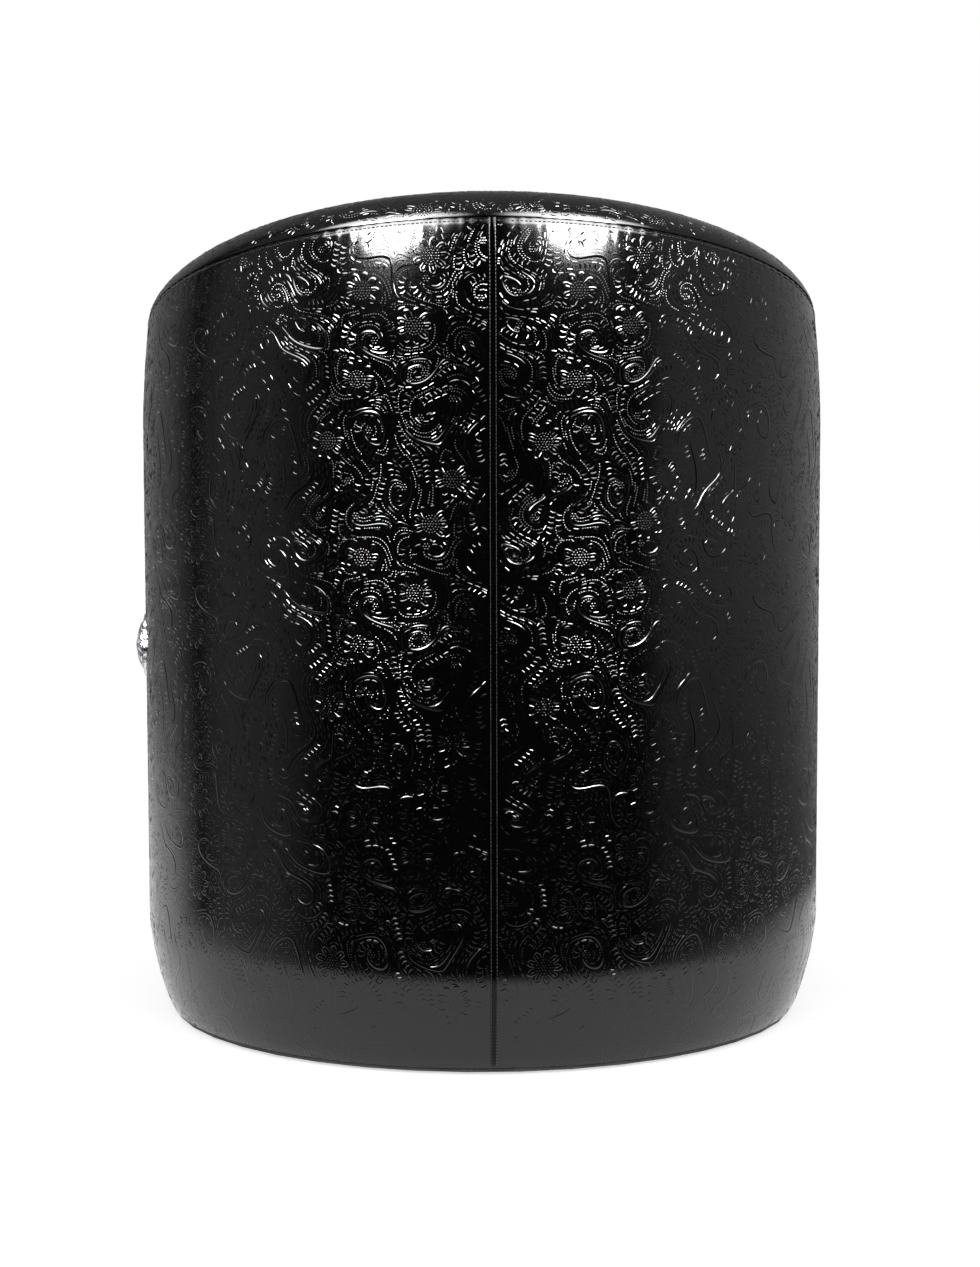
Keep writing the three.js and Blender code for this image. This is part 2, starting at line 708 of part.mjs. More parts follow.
// Base: glides, recessed plinth and dust cover
function buildBase() {
  const plinth = rectangle(plinthInside, plinthRadius, plinthBottom, plinthBottom + plinthThickness);
  addMesh('plinth', ringPiece(plinth), materials.blackBase);
  for (let i = 0; i < glideCount; i += 1) {
    const angle = (i + 0.5) * fullTurn / glideCount;
    const disc = new THREE.CylinderGeometry(glideRadius, glideRadius, glideHeight, roundSides);
    const glide = addMesh(`glide_${i + 1}`, disc, materials.nylon);
    glide.rotation.x = Math.PI / 2;
    glide.position.set(...at(angle, (plinthInside + plinthRadius) / 2, glideHeight / 2));
  }
  const cloth = new THREE.CylinderGeometry(1, 1, dustCoverThickness, ringSegments);
  const clothRadius = lipRadius - clearance;
  cloth.scale(clothRadius, 1, clothRadius);
  cloth.rotateX(Math.PI / 2);
  const dustCover = addMesh('dust_cover', cloth, materials.dustCloth);
  dustCover.rotation.z = step / 2;
  dustCover.position.z = lipBottom + dustCoverThickness / 2;
}

// Cushion outline: round at the back, straight between the arms, and a drawn-in curve at the front.
function cushionOutline() {
  const back = coverInside - cushionClearance;
  const front = bodyRadius - cushionFrontInset;
  const backTurn = Math.PI - Math.asin(cushionHalfWidth / back);
  const points = [];
  for (let i = 0; i <= cushionBackSteps; i += 1) {
    const angle = THREE.MathUtils.lerp(-backTurn, backTurn, i / cushionBackSteps);
    points.push([back * Math.sin(angle), -back * Math.cos(angle)]);
  }
  const cornerX = cushionHalfWidth - cushionCornerRadius;
  const cornerY = Math.sqrt((front - cushionCornerRadius) ** 2 - cornerX ** 2);
  const frontTurn = Math.atan2(cornerX, cornerY);
  const corner = [];
  for (let i = 0; i <= cushionCornerSteps; i += 1) {
    const turn = THREE.MathUtils.lerp(0, Math.PI / 2 - frontTurn, i / cushionCornerSteps);
    corner.push([cornerX + cushionCornerRadius * Math.cos(turn),
      cornerY + cushionCornerRadius * Math.sin(turn)]);
  }
  points.push(...corner);
  for (let i = 1; i < cushionFrontSteps; i += 1) {
    const turn = THREE.MathUtils.lerp(frontTurn, -frontTurn, i / cushionFrontSteps);
    const radius = front - cushionFrontDraw * Math.cos(Math.PI * turn / 2 / frontTurn);
    points.push([radius * Math.sin(turn), radius * Math.cos(turn)]);
  }
  points.push(...corner.reverse().map(([x, y]) => [-x, y]));
  return points;
}

// The outline moved in by an inset, towards the cushion's middle.
function insetOutline(outline, inset, height) {
  return outline.map(([x, y]) => {
    const dy = y - cushionCentreY;
    const keep = 1 - inset / Math.hypot(x, dy);
    return [x * keep, cushionCentreY + dy * keep, height];
  });
}

// Rings from one end to the other, closed by a point at each end.
function stacked(rings, startPoint, endPoint) {
  const { points, triangles, count } = loft(rings);
  const start = points.length;
  points.push(startPoint, endPoint);
  const last = (rings.length - 1) * count;
  for (let i = 0; i < count; i += 1) {
    const next = (i + 1) % count;
    triangles.push([i, next, start]);
    triangles.push([last + next, last + i, start + 1]);
  }
  return solid(points, triangles);
}

// A band closed round its own section, one ring for each corner of the section.
function closedBand(rings) {
  const { points, triangles } = loft(rings, true);
  return solid(points, triangles);
}

// Rings of the crown from its edge towards the middle, over an edge height.
function crownRings(outline, edgeInset, edgeHeightAbove, crown) {
  return crownShares.map((share) => {
    const inset = THREE.MathUtils.lerp(edgeInset, cushionHalfWidth, share);
    const rise = crown * Math.sin(Math.PI / 2 * Math.pow(share, crownPower));
    return insetOutline(outline, inset, edgeHeightAbove + rise);
  });
}

// Loose cushion: foam block, boxed cover of top, border and bottom, and a welt along each edge
function buildCushion() {
  const outline = cushionOutline();
  const middle = (height) => [0, cushionCentreY, height];
  const weltSize = 2 * weltRadius;
  const borderBottom = cushionBottom + weltSize + clearance;
  const borderTopEdge = cushionBottom + cushionBorderHeight - weltSize - clearance;
  const borderMiddle = (borderBottom + borderTopEdge) / 2;
  const top = cushionBottom + cushionBorderHeight - weltRadius;
  const panelInset = weltSize + clearance;

  const border = [[weltRadius, borderBottom], [weltRadius / 2 - borderBulge, borderMiddle],
    [weltRadius, borderTopEdge]];
  const outside = border.map(([inset, z]) => insetOutline(outline, inset, z));
  const inside = border.reverse().map(([inset, z]) => insetOutline(outline, inset + leather, z));
  addMesh('cushion_border', closedBand([...outside, ...inside]), materials.leather);

  for (const [name, centre] of [['cushion_welt_bottom', cushionBottom + weltRadius],
    ['cushion_welt_top', cushionBottom + cushionBorderHeight - weltRadius]]) {
    const rings = [];
    for (let i = 0; i < weltSides; i += 1) {
      const turn = i * fullTurn / weltSides;
      const inset = weltRadius * (1 - Math.cos(turn));
      rings.push(insetOutline(outline, inset, centre + weltRadius * Math.sin(turn)));
    }
    addMesh(name, closedBand(rings), materials.leather);
  }

  addMesh('cushion_bottom', stacked([insetOutline(outline, panelInset, cushionBottom),
    insetOutline(outline, panelInset, cushionBottom + leather)], middle(cushionBottom),
  middle(cushionBottom + leather)), materials.leather);

  const outer = crownRings(outline, panelInset, top, cushionCrown);
  const inner = crownRings(outline, panelInset, top - leather, cushionCrown);
  addMesh('cushion_top', stacked([...inner.reverse(), ...outer], middle(top - leather + cushionCrown),
    middle(top + cushionCrown)), materials.leather);

  const coreInset = panelInset + clearance;
  addMesh('cushion_core', stacked([
    insetOutline(outline, coreInset, cushionBottom + skinGap),
    insetOutline(outline, coreInset, borderBottom),
    insetOutline(outline, weltRadius + skinGap - borderBulge, borderMiddle),
    insetOutline(outline, coreInset, borderTopEdge),
    ...crownRings(outline, coreInset, top - skinGap, cushionCrown),
  ], middle(cushionBottom + skinGap), middle(top - skinGap + cushionCrown)), materials.foam);
}

buildFrame();
buildWebbing();
buildPadding();
buildCovers();
buildRosette();
buildBase();
buildCushion();

export default chair;
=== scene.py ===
import math
import random

import bmesh
import bpy
import numpy as np
from mathutils import Matrix, Vector


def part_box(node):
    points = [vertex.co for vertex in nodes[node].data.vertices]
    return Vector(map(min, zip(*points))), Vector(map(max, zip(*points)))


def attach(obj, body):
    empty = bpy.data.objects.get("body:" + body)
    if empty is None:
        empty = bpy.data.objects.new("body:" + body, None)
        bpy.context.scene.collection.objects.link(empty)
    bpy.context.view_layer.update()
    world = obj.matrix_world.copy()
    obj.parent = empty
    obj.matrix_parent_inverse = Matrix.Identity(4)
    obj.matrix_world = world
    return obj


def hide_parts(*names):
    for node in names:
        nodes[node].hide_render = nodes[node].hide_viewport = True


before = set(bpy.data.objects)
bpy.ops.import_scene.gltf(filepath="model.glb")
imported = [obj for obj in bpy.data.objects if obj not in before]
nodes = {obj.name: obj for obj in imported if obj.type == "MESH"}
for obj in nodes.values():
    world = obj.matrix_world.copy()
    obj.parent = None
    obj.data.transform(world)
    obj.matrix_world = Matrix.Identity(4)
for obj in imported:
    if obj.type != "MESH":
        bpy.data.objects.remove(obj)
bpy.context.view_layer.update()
print("frame loaded:", len(nodes), "nodes")

# Barrel chair seen from behind. Metres, the middle of the back at -Y.
# A place on the barrel is an angle from the middle of the back, a radius and a height.

barrel = {
    "radius": 0.335,
    "coverInside": 0.2538,
    "seamHeight": 0.786,        # outer rim seam at the middle of the back
    "armSeamHeight": 0.622,
    "armEnd": math.radians(122),
    "cornerRadius": 0.045,      # the rim's turn down the arm front
    "rimInset": 0.012,          # the back bends in towards the rim seam, less at the sides
    "sideInsetShare": 0.56,
    "rimInsetReach": 0.120,
    "innerInset": 0.0045,
    "innerInsetReach": 0.060,
    "tuckInset": 0.023,         # the barrel rounds in at the bottom
    "tuckHeight": 0.088,
    "tuckPower": 1.32,
    "tuckLip": 0.026,
    "lipBottom": 0.0063,
    "curlReach": 0.004,         # the outside cover's edge rolls into the seam
    "curlDepth": 0.0012,
    "leather": 0.0012,
    "gap": 0.0003,
}

wallMiddle = (barrel["radius"] + barrel["coverInside"]) / 2
rimFall = (barrel["seamHeight"] - barrel["armSeamHeight"]) / (1 - math.cos(barrel["armEnd"]))
armEndRun = barrel["armEnd"] * wallMiddle
tuckTop = barrel["lipBottom"] + barrel["tuckHeight"]
lipRadius = barrel["radius"] - barrel["tuckInset"] - barrel["tuckLip"]


def at(angle, radius, height):
    angle, radius, height = np.broadcast_arrays(angle, radius, height)
    return np.stack([radius * np.sin(angle), -radius * np.cos(angle), height], -1)


def seamHeight(angle):
    return barrel["seamHeight"] - rimFall * (1 - np.cos(angle))


def seamLean(angle):
    return np.arctan(rimFall * np.sin(angle) / wallMiddle)


cornerStart = barrel["armEnd"]
for turn in range(8):
    cornerStart = (armEndRun - barrel["cornerRadius"] * (1 - math.sin(seamLean(cornerStart)))) / wallMiddle
cornerLean = float(seamLean(cornerStart))
cornerRun = armEndRun - barrel["cornerRadius"]
cornerHeight = float(seamHeight(cornerStart)) - barrel["cornerRadius"] * math.cos(cornerLean)


def cornerAngle(offset=0.0):
    return (cornerRun + (barrel["cornerRadius"] + offset) * math.sin(cornerLean)) / wallMiddle


def edgeHeight(angle, offset=0.0):
    angle = np.abs(angle)
    radius = barrel["cornerRadius"] + offset
    beyond = angle * wallMiddle - cornerRun
    corner = cornerHeight + np.sqrt(np.maximum(radius ** 2 - beyond ** 2, 0))
    straight = seamHeight(angle) + offset / np.cos(seamLean(angle))
    return np.where(beyond > radius * math.sin(cornerLean), corner, straight)


def rimInset(angle):
    side = barrel["sideInsetShare"]
    return barrel["rimInset"] * (side + (1 - side) * np.where(np.abs(angle) < math.pi / 2, np.cos(angle) ** 2, 0))


def pull(height, rim, reach, inset):
    near = np.clip(1 - (rim - height) / reach, 0, None)
    return inset * near ** 2


# Lower part of the outside section: turned under, then rounded up to the straight wall
tuckTurns = np.linspace(0, math.pi / 2, 33)
tuckRadii = barrel["radius"] - barrel["tuckInset"] * (1 - np.sin(tuckTurns) ** (2 / barrel["tuckPower"]))
tuckHeights = barrel["lipBottom"] + barrel["tuckHeight"] * (1 - np.cos(tuckTurns) ** (2 / barrel["tuckPower"]))
tuckRadii = np.append(lipRadius, tuckRadii)
tuckHeights = np.append(barrel["lipBottom"], tuckHeights)
tuckRun = np.append(0, np.cumsum(np.hypot(np.diff(tuckRadii), np.diff(tuckHeights))))
tuckLength = float(tuckRun[-1])


def runTo(height):
    # the way along the section up to a height on the straight wall
    return tuckLength + height - tuckTop


def sectionPoint(run):
    height = np.where(run < tuckLength, np.interp(run, tuckRun, tuckHeights), tuckTop + run - tuckLength)
    return np.interp(run, tuckRun, tuckRadii), height


def outsidePoint(angle, run, lift=0.0):
    radius, height = sectionPoint(run)
    rim = edgeHeight(angle)
    radius = radius - pull(height, rim, barrel["rimInsetReach"], rimInset(angle))
    curl = np.clip(1 - (rim - height) / barrel["curlReach"], 0, 1)
    return at(angle, radius - barrel["curlDepth"] * curl ** 2 + lift, height)


def insideRadius(height, rim):
    return barrel["coverInside"] + pull(height, rim, barrel["innerInsetReach"], barrel["innerInset"])


# Mesh helpers

def deselectAll():
    if bpy.context.mode != "OBJECT":
        bpy.ops.object.mode_set(mode="OBJECT")
    bpy.ops.object.select_all(action="DESELECT")


def pick(piece):
    deselectAll()
    piece.select_set(True)
    bpy.context.view_layer.objects.active = piece


def applyAll(piece):
    pick(piece)
    for modifier in list(piece.modifiers):
        bpy.ops.object.modifier_apply(modifier=modifier.name)


def faceOutward(piece, joined=False):
    pick(piece)
    bpy.ops.object.mode_set(mode="EDIT")
    bpy.ops.mesh.select_all(action="SELECT")
    if joined:
        bpy.ops.mesh.remove_doubles(threshold=1e-5)
    bpy.ops.mesh.normals_make_consistent(inside=False)
    bpy.ops.object.mode_set(mode="OBJECT")


def spotsOf(piece):
    spots = np.empty(len(piece.data.vertices) * 3)
    piece.data.vertices.foreach_get("co", spots)
    return spots.reshape(-1, 3)


def putSpots(piece, spots):
    piece.data.vertices.foreach_set("co", spots.astype(np.float32).ravel())
    piece.data.update()


def addSheet(name, settings, place, flat, thickness=barrel["leather"], flipped=False):
    # a grid laid out by place(), its cloth coordinates by flat(), both from shares across and up
    deselectAll()
    bpy.ops.mesh.primitive_grid_add(x_subdivisions=settings["columns"], y_subdivisions=settings["rows"], size=1)
    piece = bpy.context.object
    mesh = piece.data
    piece.name = mesh.name = name
    shares = (spotsOf(piece) + 0.5)[:, :2].T
    putSpots(piece, place(*shares))
    corners = np.empty(len(mesh.loops), np.int32)
    mesh.loops.foreach_get("vertex_index", corners)
    layer = mesh.uv_layers.active or mesh.uv_layers.new(name="UVMap")
    layer.data.foreach_set("uv", flat(*shares)[corners].astype(np.float32).ravel())
    if flipped:
        mesh.flip_normals()
    solid = piece.modifiers.new("thickness", "SOLIDIFY")
    solid.thickness = thickness
    solid.offset = -1
    applyAll(piece)
    return piece


def addObject(name, data):
    made = bpy.data.objects.new(name, data)
    bpy.context.scene.collection.objects.link(made)
    return made


def meshPiece(name, points, faces):
    mesh = bpy.data.meshes.new(name)
    mesh.from_pydata(points, [], faces)
    mesh.update()
    return addObject(name, mesh)


def finishPiece(piece, body, material, replaced=(), degrees=40):
    pick(piece)
    bpy.ops.object.shade_smooth_by_angle(angle=math.radians(degrees))
    piece.data.materials.clear()
    piece.data.materials.append(material)
    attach(piece, body)
    if replaced:
        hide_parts(*replaced)
    return piece


# Shader maths

def operator(operation, reflected=False):
    def apply(self, other):
        return self.paint.maths(operation, *((other, self) if reflected else (self, other)))

    return apply


class Value:
    def __init__(self, paint, socket):
        self.paint = paint
        self.socket = socket

    __add__ = __radd__ = operator("ADD")
    __mul__ = __rmul__ = operator("MULTIPLY")
    __sub__, __rsub__ = operator("SUBTRACT"), operator("SUBTRACT", True)
    __truediv__, __rtruediv__ = operator("DIVIDE"), operator("DIVIDE", True)


class Paint:
    def __init__(self, tree):
        self.tree = tree
        tree.nodes.clear()

    def node(self, kind, settings=None, **inputs):
        made = self.tree.nodes.new(kind)
        for key, value in (settings or {}).items():
            setattr(made, key, value)
        for key, value in inputs.items():
            self.feed(made, key.replace("_", " "), value)
        return made

    def join(self, first, second, place=0):
        self.tree.links.new(first.outputs[0], second.inputs[place])

    def feed(self, made, key, value):
        socket = made.inputs[int(key) if key.isdigit() else key]
        if isinstance(value, Value):
            self.tree.links.new(value.socket, socket)
        elif isinstance(value, bpy.types.NodeSocket):
            self.tree.links.new(value, socket)
        else:
            socket.default_value = value

    def maths(self, operation, *values):
        made = self.node("ShaderNodeMath", {"operation": operation})
        for index, value in enumerate(values):
            self.feed(made, str(index), value)
        return Value(self, made.outputs[0])

    def ramp(self, value, low, high, start=0.0, end=1.0):
        made = self.node("ShaderNodeMapRange", {"interpolation_type": "SMOOTHSTEP"}, Value=value)
        for key, number in (("From Min", low), ("From Max", high), ("To Min", start), ("To Max", end)):
            made.inputs[key].default_value = number
        return Value(self, made.outputs["Result"])

    def noise(self, vector, scale, detail=2.0):
        made = self.node("ShaderNodeTexNoise", None, Vector=vector, Scale=scale, Detail=detail)
        return Value(self, made.outputs[0])

    def mix(self, factor, first, second):
        made = self.node("ShaderNodeMix", {"data_type": "RGBA"})
        for key, value in (("0", factor), ("6", first), ("7", second)):
            self.feed(made, key, value)
        return made.outputs[2]

    def parts(self, vector):
        made = self.node("ShaderNodeSeparateXYZ", None, Vector=vector)
        return [Value(self, made.outputs[k]) for k in range(3)]


def newMaterial(name):
    # a new material, its nodes and a point in the piece's own frame
    material = bpy.data.materials.new(name)
    material.use_nodes = True
    paint = Paint(material.node_tree)
    return material, paint, paint.node("ShaderNodeTexCoord").outputs["Object"]


def finishMaterial(paint, colour, roughness, height=None, bumpDistance=0.0002, strength=1.0, **constants):
    shader = paint.node("ShaderNodeBsdfPrincipled")
    paint.feed(shader, "Base Color", colour)
    paint.feed(shader, "Roughness", roughness)
    for key, value in constants.items():
        shader.inputs[key.replace("_", " ")].default_value = value
    if height is not None:
        bump = paint.node("ShaderNodeBump", None, Height=height)
        bump.inputs["Distance"].default_value = bumpDistance
        bump.inputs["Strength"].default_value = strength
        paint.feed(shader, "Normal", bump.outputs[0])
    paint.join(shader, paint.node("ShaderNodeOutputMaterial"))


def rgb(hexText):
    parts = [int(hexText[i:i + 2], 16) / 255 for i in (0, 2, 4)]
    return tuple(p / 12.92 if p <= 0.04045 else ((p + 0.055) / 1.055) ** 2.4 for p in parts) + (1.0,)


# Leather finishes

glossyLeather = {
    "colour": "040405", "warm": "080708", "poreScale": 900, "wrinkleScale": 70, "bump": 0.00012,
    "roughness": (0.07, 0.12), "bending": 1.5,
    "tightRoughness": (0.03, 0.05), "tightBending": 1.28,       # over the centre back seam
}


def makeGlossyLeather(name, roughnessRange, bending):
    material, paint, point = newMaterial(name)
    pores = paint.noise(point, glossyLeather["poreScale"], 2.0)
    wrinkles = paint.noise(point, glossyLeather["wrinkleScale"], 3.0)
    patches = paint.noise(point, 9.0, 2.0)
    colour = paint.mix(patches, rgb(glossyLeather["colour"]), rgb(glossyLeather["warm"]))
    roughness = paint.ramp(pores * 0.6 + patches * 0.4, 0.3, 0.7, *roughnessRange)
    height = pores * 0.35 + wrinkles * 0.9
    finishMaterial(paint, colour, roughness, height, glossyLeather["bump"], 0.35, IOR=bending)
    return material


plainLeather = {
    "colour": "0f0e10", "warm": "1a1718", "pebbleScale": 420, "bump": 0.0004,
    "roughness": (0.56, 0.70), "bending": 1.18,
}


def makePlainLeather():
    material, paint, point = newMaterial("plainLeather")
    scale = plainLeather["pebbleScale"]
    cells = paint.node("ShaderNodeTexVoronoi", {"feature": "DISTANCE_TO_EDGE"}, Vector=point, Scale=scale)
    pebbles = paint.ramp(Value(paint, cells.outputs["Distance"]), 0.0, 0.25)
    creases = paint.noise(point, 45.0, 4.0)
    patches = paint.noise(point, 7.0, 2.0)
    colour = paint.mix(patches, rgb(plainLeather["colour"]), rgb(plainLeather["warm"]))
    roughness = paint.ramp(patches * 0.5 + (1 - pebbles) * 0.5, 0.2, 0.8, *plainLeather["roughness"])
    height = pebbles * 0.5 + creases * 1.2
    finishMaterial(paint, colour, roughness, height, plainLeather["bump"], 0.6, IOR=plainLeather["bending"])
    return material


def makeThread():
    material, paint, point = newMaterial("thread")
    twist = paint.noise(point, 1500.0, 1.0)
    colour = paint.mix(twist, rgb("141214"), rgb("2a272a"))
    finishMaterial(paint, colour, paint.ramp(twist, 0.3, 0.7, 0.35, 0.55), twist, 0.0001, 0.5, IOR=1.5)
    return material


silverFinish = {"colour": "d5d6d9", "dark": "2a2a2c", "roughness": (0.16, 0.38)}


def makeSilver():
    material, paint, point = newMaterial("antiqueSilver")
    dents = paint.noise(point, 420.0, 3.0)
    stain = paint.noise(point, 130.0, 3.0)
    curve = Value(paint, paint.node("ShaderNodeNewGeometry").outputs["Pointiness"])
    hollow = paint.ramp(curve, 0.47, 0.51)
    tarnish = paint.ramp(hollow * 0.8 + stain * 0.3, 0.25, 0.75)
    colour = paint.mix(tarnish, rgb(silverFinish["dark"]), rgb(silverFinish["colour"]))
    roughness = paint.ramp(stain, 0.3, 0.7, *silverFinish["roughness"])
    finishMaterial(paint, colour, roughness, dents, 0.0002, 0.35, Metallic=1.0)
    return material


def makePlainFinish(name, first, second, scale, roughness, bump, strength, stretch=None, metallic=0.0, weave=None):
    material, paint, point = newMaterial(name)
    if stretch:
        point = paint.node("ShaderNodeMapping", None, Vector=point, Scale=stretch).outputs[0]
    grain = paint.noise(point, scale, 4.0)
    height = grain
    if weave:
        threads = []
        for axis in ("X", "Y"):
            wave = paint.node("ShaderNodeTexWave", {"bands_direction": axis}, Vector=point, Scale=weave)
            threads.append(Value(paint, wave.outputs[1]))
        height = grain * 0.4 + threads[0] * threads[1]
    colour = paint.mix(height, rgb(first), rgb(second))
    finishMaterial(paint, colour, paint.ramp(grain, 0.3, 0.7, *roughness), height, bump, strength, Metallic=metallic)
    return material


glossy = makeGlossyLeather("glossyLeather", glossyLeather["roughness"], glossyLeather["bending"])
tight = makeGlossyLeather("tightLeather", glossyLeather["tightRoughness"], glossyLeather["tightBending"])
plain = makePlainLeather()
thread = makeThread()
silver = makeSilver()

# two colours, grain scale, roughness, bump height and strength, then stretch, metal and weave
plainFinishes = {
    "foam": ("d8cfae", "efe8cf", 700, (0.85, 1.0), 0.0006, 0.5),
    "wadding": ("e6e3da", "f7f5f0", 160, (0.9, 1.0), 0.002, 0.7),
    "bentBoard": ("7d5a38", "a98459", 60, (0.65, 0.85), 0.0003, 0.4, (1, 1, 12)),
    "hardwood": ("a67f50", "cfa877", 40, (0.55, 0.75), 0.0003, 0.4, (4, 4, 0.6)),
    "webbing": ("3c3229", "63564a", 300, (0.8, 0.95), 0.0005, 0.6, None, 0.0, 260),
    "blackBase": ("070707", "121212", 260, (0.45, 0.65), 0.0002, 0.4),
    "dustCloth": ("0e0e0e", "202020", 900, (0.85, 1.0), 0.0004, 0.6, None, 0.0, 500),
    "nylon": ("cfccc4", "e2dfd8", 500, (0.4, 0.55), 0.0001, 0.3),
    "steel": ("84878b", "a6a9ad", 400, (0.3, 0.45), 0.0001, 0.3, (1, 1, 8), 1.0),
    "deckCloth": ("17161a", "2c2a2f", 800, (0.8, 0.95), 0.0005, 0.6, None, 0.0, 420),
}
finishes = {name: makePlainFinish(name, *settings) for name, settings in plainFinishes.items()}
finishes.update(glossy=glossy, plain=plain, silver=silver)

nodeFinish = {      # what the CAD nodes wear, by the start of their names; the first match counts
    "base_ring seat_ring post_ top_rail stile_": "hardwood", "shell_board liner_board front_board": "bentBoard",
    "webbing_": "webbing", "outer_wadding front_wadding seat_deck": "wadding",
    "inside_foam rim_foam cushion_core": "foam", "plinth": "blackBase", "dust_cover": "dustCloth", "glide_": "nylon",
    "concho_washer concho_screw": "steel", "concho": "silver", "inside_cover cushion_": "plain",
    "outside_back back_seam rim_band front_cover": "glossy",
}
for name, node in nodes.items():
    for starts, finish in nodeFinish.items():
        if name.startswith(tuple(starts.split())):
            for slot in node.material_slots:
                slot.material = finishes[finish]
            if not node.material_slots:
                node.data.materials.append(finishes[finish])
            break
print("finishes made")

# Outside back: two panels that meet at the centre back seam

outsideBack = {
    "columns": 150, "rows": 110,
    "tuckShare": 0.24,          # of the rows, up to the straight wall
    "cornerShare": 0.93,        # of the columns, up to the corner
    "rowPower": 1.25,           # rows stand closer towards the rim
    "puckerDepth": 0.0005, "puckerPitch": 0.013, "puckerReach": 0.012,
    "seamReach": 0.006, "seamSink": 0.0006,
}


def columnAngles(share, offset):
    # even steps to the corner, then even turns round it
    before = outsideBack["cornerShare"]
    lean = cornerLean + (math.pi / 2 - cornerLean) * np.clip((share - before) / (1 - before), 0, 1)
    corner = (cornerRun + (barrel["cornerRadius"] + offset) * np.sin(lean)) / wallMiddle
    return np.where(share < before, cornerAngle(offset) * share / before, corner)


def outsideBackPanel(name, side):
    offset = -barrel["gap"] / 2

    def run(across, up):
        angle = columnAngles(across, offset)
        share = outsideBack["tuckShare"]
        above = 1 - (1 - np.clip((up - share) / (1 - share), 0, 1)) ** outsideBack["rowPower"]
        straight = runTo(edgeHeight(angle, offset)) - tuckLength
        return angle, np.where(up < share, tuckLength * up / share, tuckLength + straight * above)

    def place(across, up):
        angle, along = run(across, up)
        angle = np.maximum(angle, barrel["gap"] / 2 / barrel["radius"])
        arc = angle * barrel["radius"]
        puckers = np.sin(2 * math.pi * arc / outsideBack["puckerPitch"] + 1.7 * np.sin(angle * 9))
        fromRim = edgeHeight(angle) - sectionPoint(along)[1]
        depth = outsideBack["puckerDepth"] * np.exp(-fromRim / outsideBack["puckerReach"]) * puckers
        fromSeam = np.clip(1 - arc / outsideBack["seamReach"], 0, 1)
        return outsidePoint(side * angle, along, depth - outsideBack["seamSink"] * fromSeam)

    def flat(across, up):
        angle, along = run(across, up)
        return np.stack([side * angle * barrel["radius"], along], -1)

    return addSheet(name, outsideBack, place, flat, flipped=side < 0)


for hand, side in (("right", 1), ("left", -1)):
    panel = outsideBackPanel("outsideBack" + hand.title(), side)
    finishPiece(panel, "chair", glossy, ["outside_back_" + hand])
print("outside back panels made")

# Centre back seam: a narrow welt with a line of stitches down each side

backSeam = {
    "columns": 10, "rows": 150, "width": 0.0064, "rise": 0.0011, "crownPower": 0.25, "leather": 0.0009,
    "bottom": 0.002, "below": 0.0006,           # where the welt starts, and ends under the rim seam
    "pitch": 0.0034, "stitchLength": 0.0026, "stitchRadius": 0.00045,
    "stitchAside": 0.0027, "stitchLift": 0.0012, "stitchBottom": 0.028,
}


def addStitches(name, spots, ahead, normals, settings):
    # one stitch is a short bar with bevelled ends, modelled once and copied along the seam
    length, radius, sides = settings["stitchLength"], settings["stitchRadius"], 6
    points, faces = [], []
    for spot, direction, normal in zip(spots, ahead - spots, normals):
        direction = direction / np.linalg.norm(direction)
        across = np.cross(normal, direction)
        first = len(points)
        points.append(spot - direction * 0.5 * length)
        for along in (-0.36, 0.36):
            middle = spot + direction * along * length
            for k in range(sides):
                turn = 2 * math.pi * k / sides
                points.append(middle + radius * (math.cos(turn) * normal + math.sin(turn) * across))
        points.append(spot + direction * 0.5 * length)
        for k in range(sides):
            a, b = first + 1 + k, first + 1 + (k + 1) % sides
            faces += [(first, b, a), (a, b, b + sides, a + sides), (first + 1 + 2 * sides, a + sides, b + sides)]
    finishPiece(meshPiece(name, [tuple(p) for p in points], faces), "chair", thread)


def buildBackSeam():
    bottom, top = backSeam["bottom"], runTo(barrel["seamHeight"]) - backSeam["below"]

    def place(across, up):
        turn = (across - 0.5) * math.pi
        angle = np.sin(turn) * backSeam["width"] / 2 / barrel["radius"]
        rise = barrel["gap"] + backSeam["rise"] * np.cos(turn) ** backSeam["crownPower"]
        return outsidePoint(angle, bottom + up * (top - bottom), rise)

    def flat(across, up):
        return np.stack([(across - 0.5) * 0.008, up * top], -1)

    band = addSheet("backSeamWelt", backSeam, place, flat, backSeam["leather"])
    finishPiece(band, "chair", tight, ["back_seam_strip"])
    count = int((top - backSeam["stitchBottom"] - bottom) / backSeam["pitch"])
    along = np.tile(backSeam["stitchBottom"] + np.arange(count) * backSeam["pitch"], 2)
    angles = np.repeat((-1, 1), count) * backSeam["stitchAside"] / barrel["radius"]
    spots = outsidePoint(angles, along, backSeam["stitchLift"])
    ahead = outsidePoint(angles, along + 0.001, backSeam["stitchLift"])
    normals = np.repeat([(-0.35, -0.94, 0.0), (0.35, -0.94, 0.0)], count, axis=0)
    addStitches("backSeamStitches", spots, ahead, normals, backSeam)


buildBackSeam()
print("back seam made")

# Rim band: padded leather over the rim and down both arm fronts

rimBand = {
    "columns": 260, "rows": 36, "crown": 0.023, "slant": 1.4, "borderTop": 0.2985, "borderRadius": 0.026,
    "footShare": 0.13, "cornerShare": 0.08,     # of the columns on a side: down the arm front, round the corner
    "rest": 0.0002, "footGap": 0.0003, "clothWidth": 0.098,
}


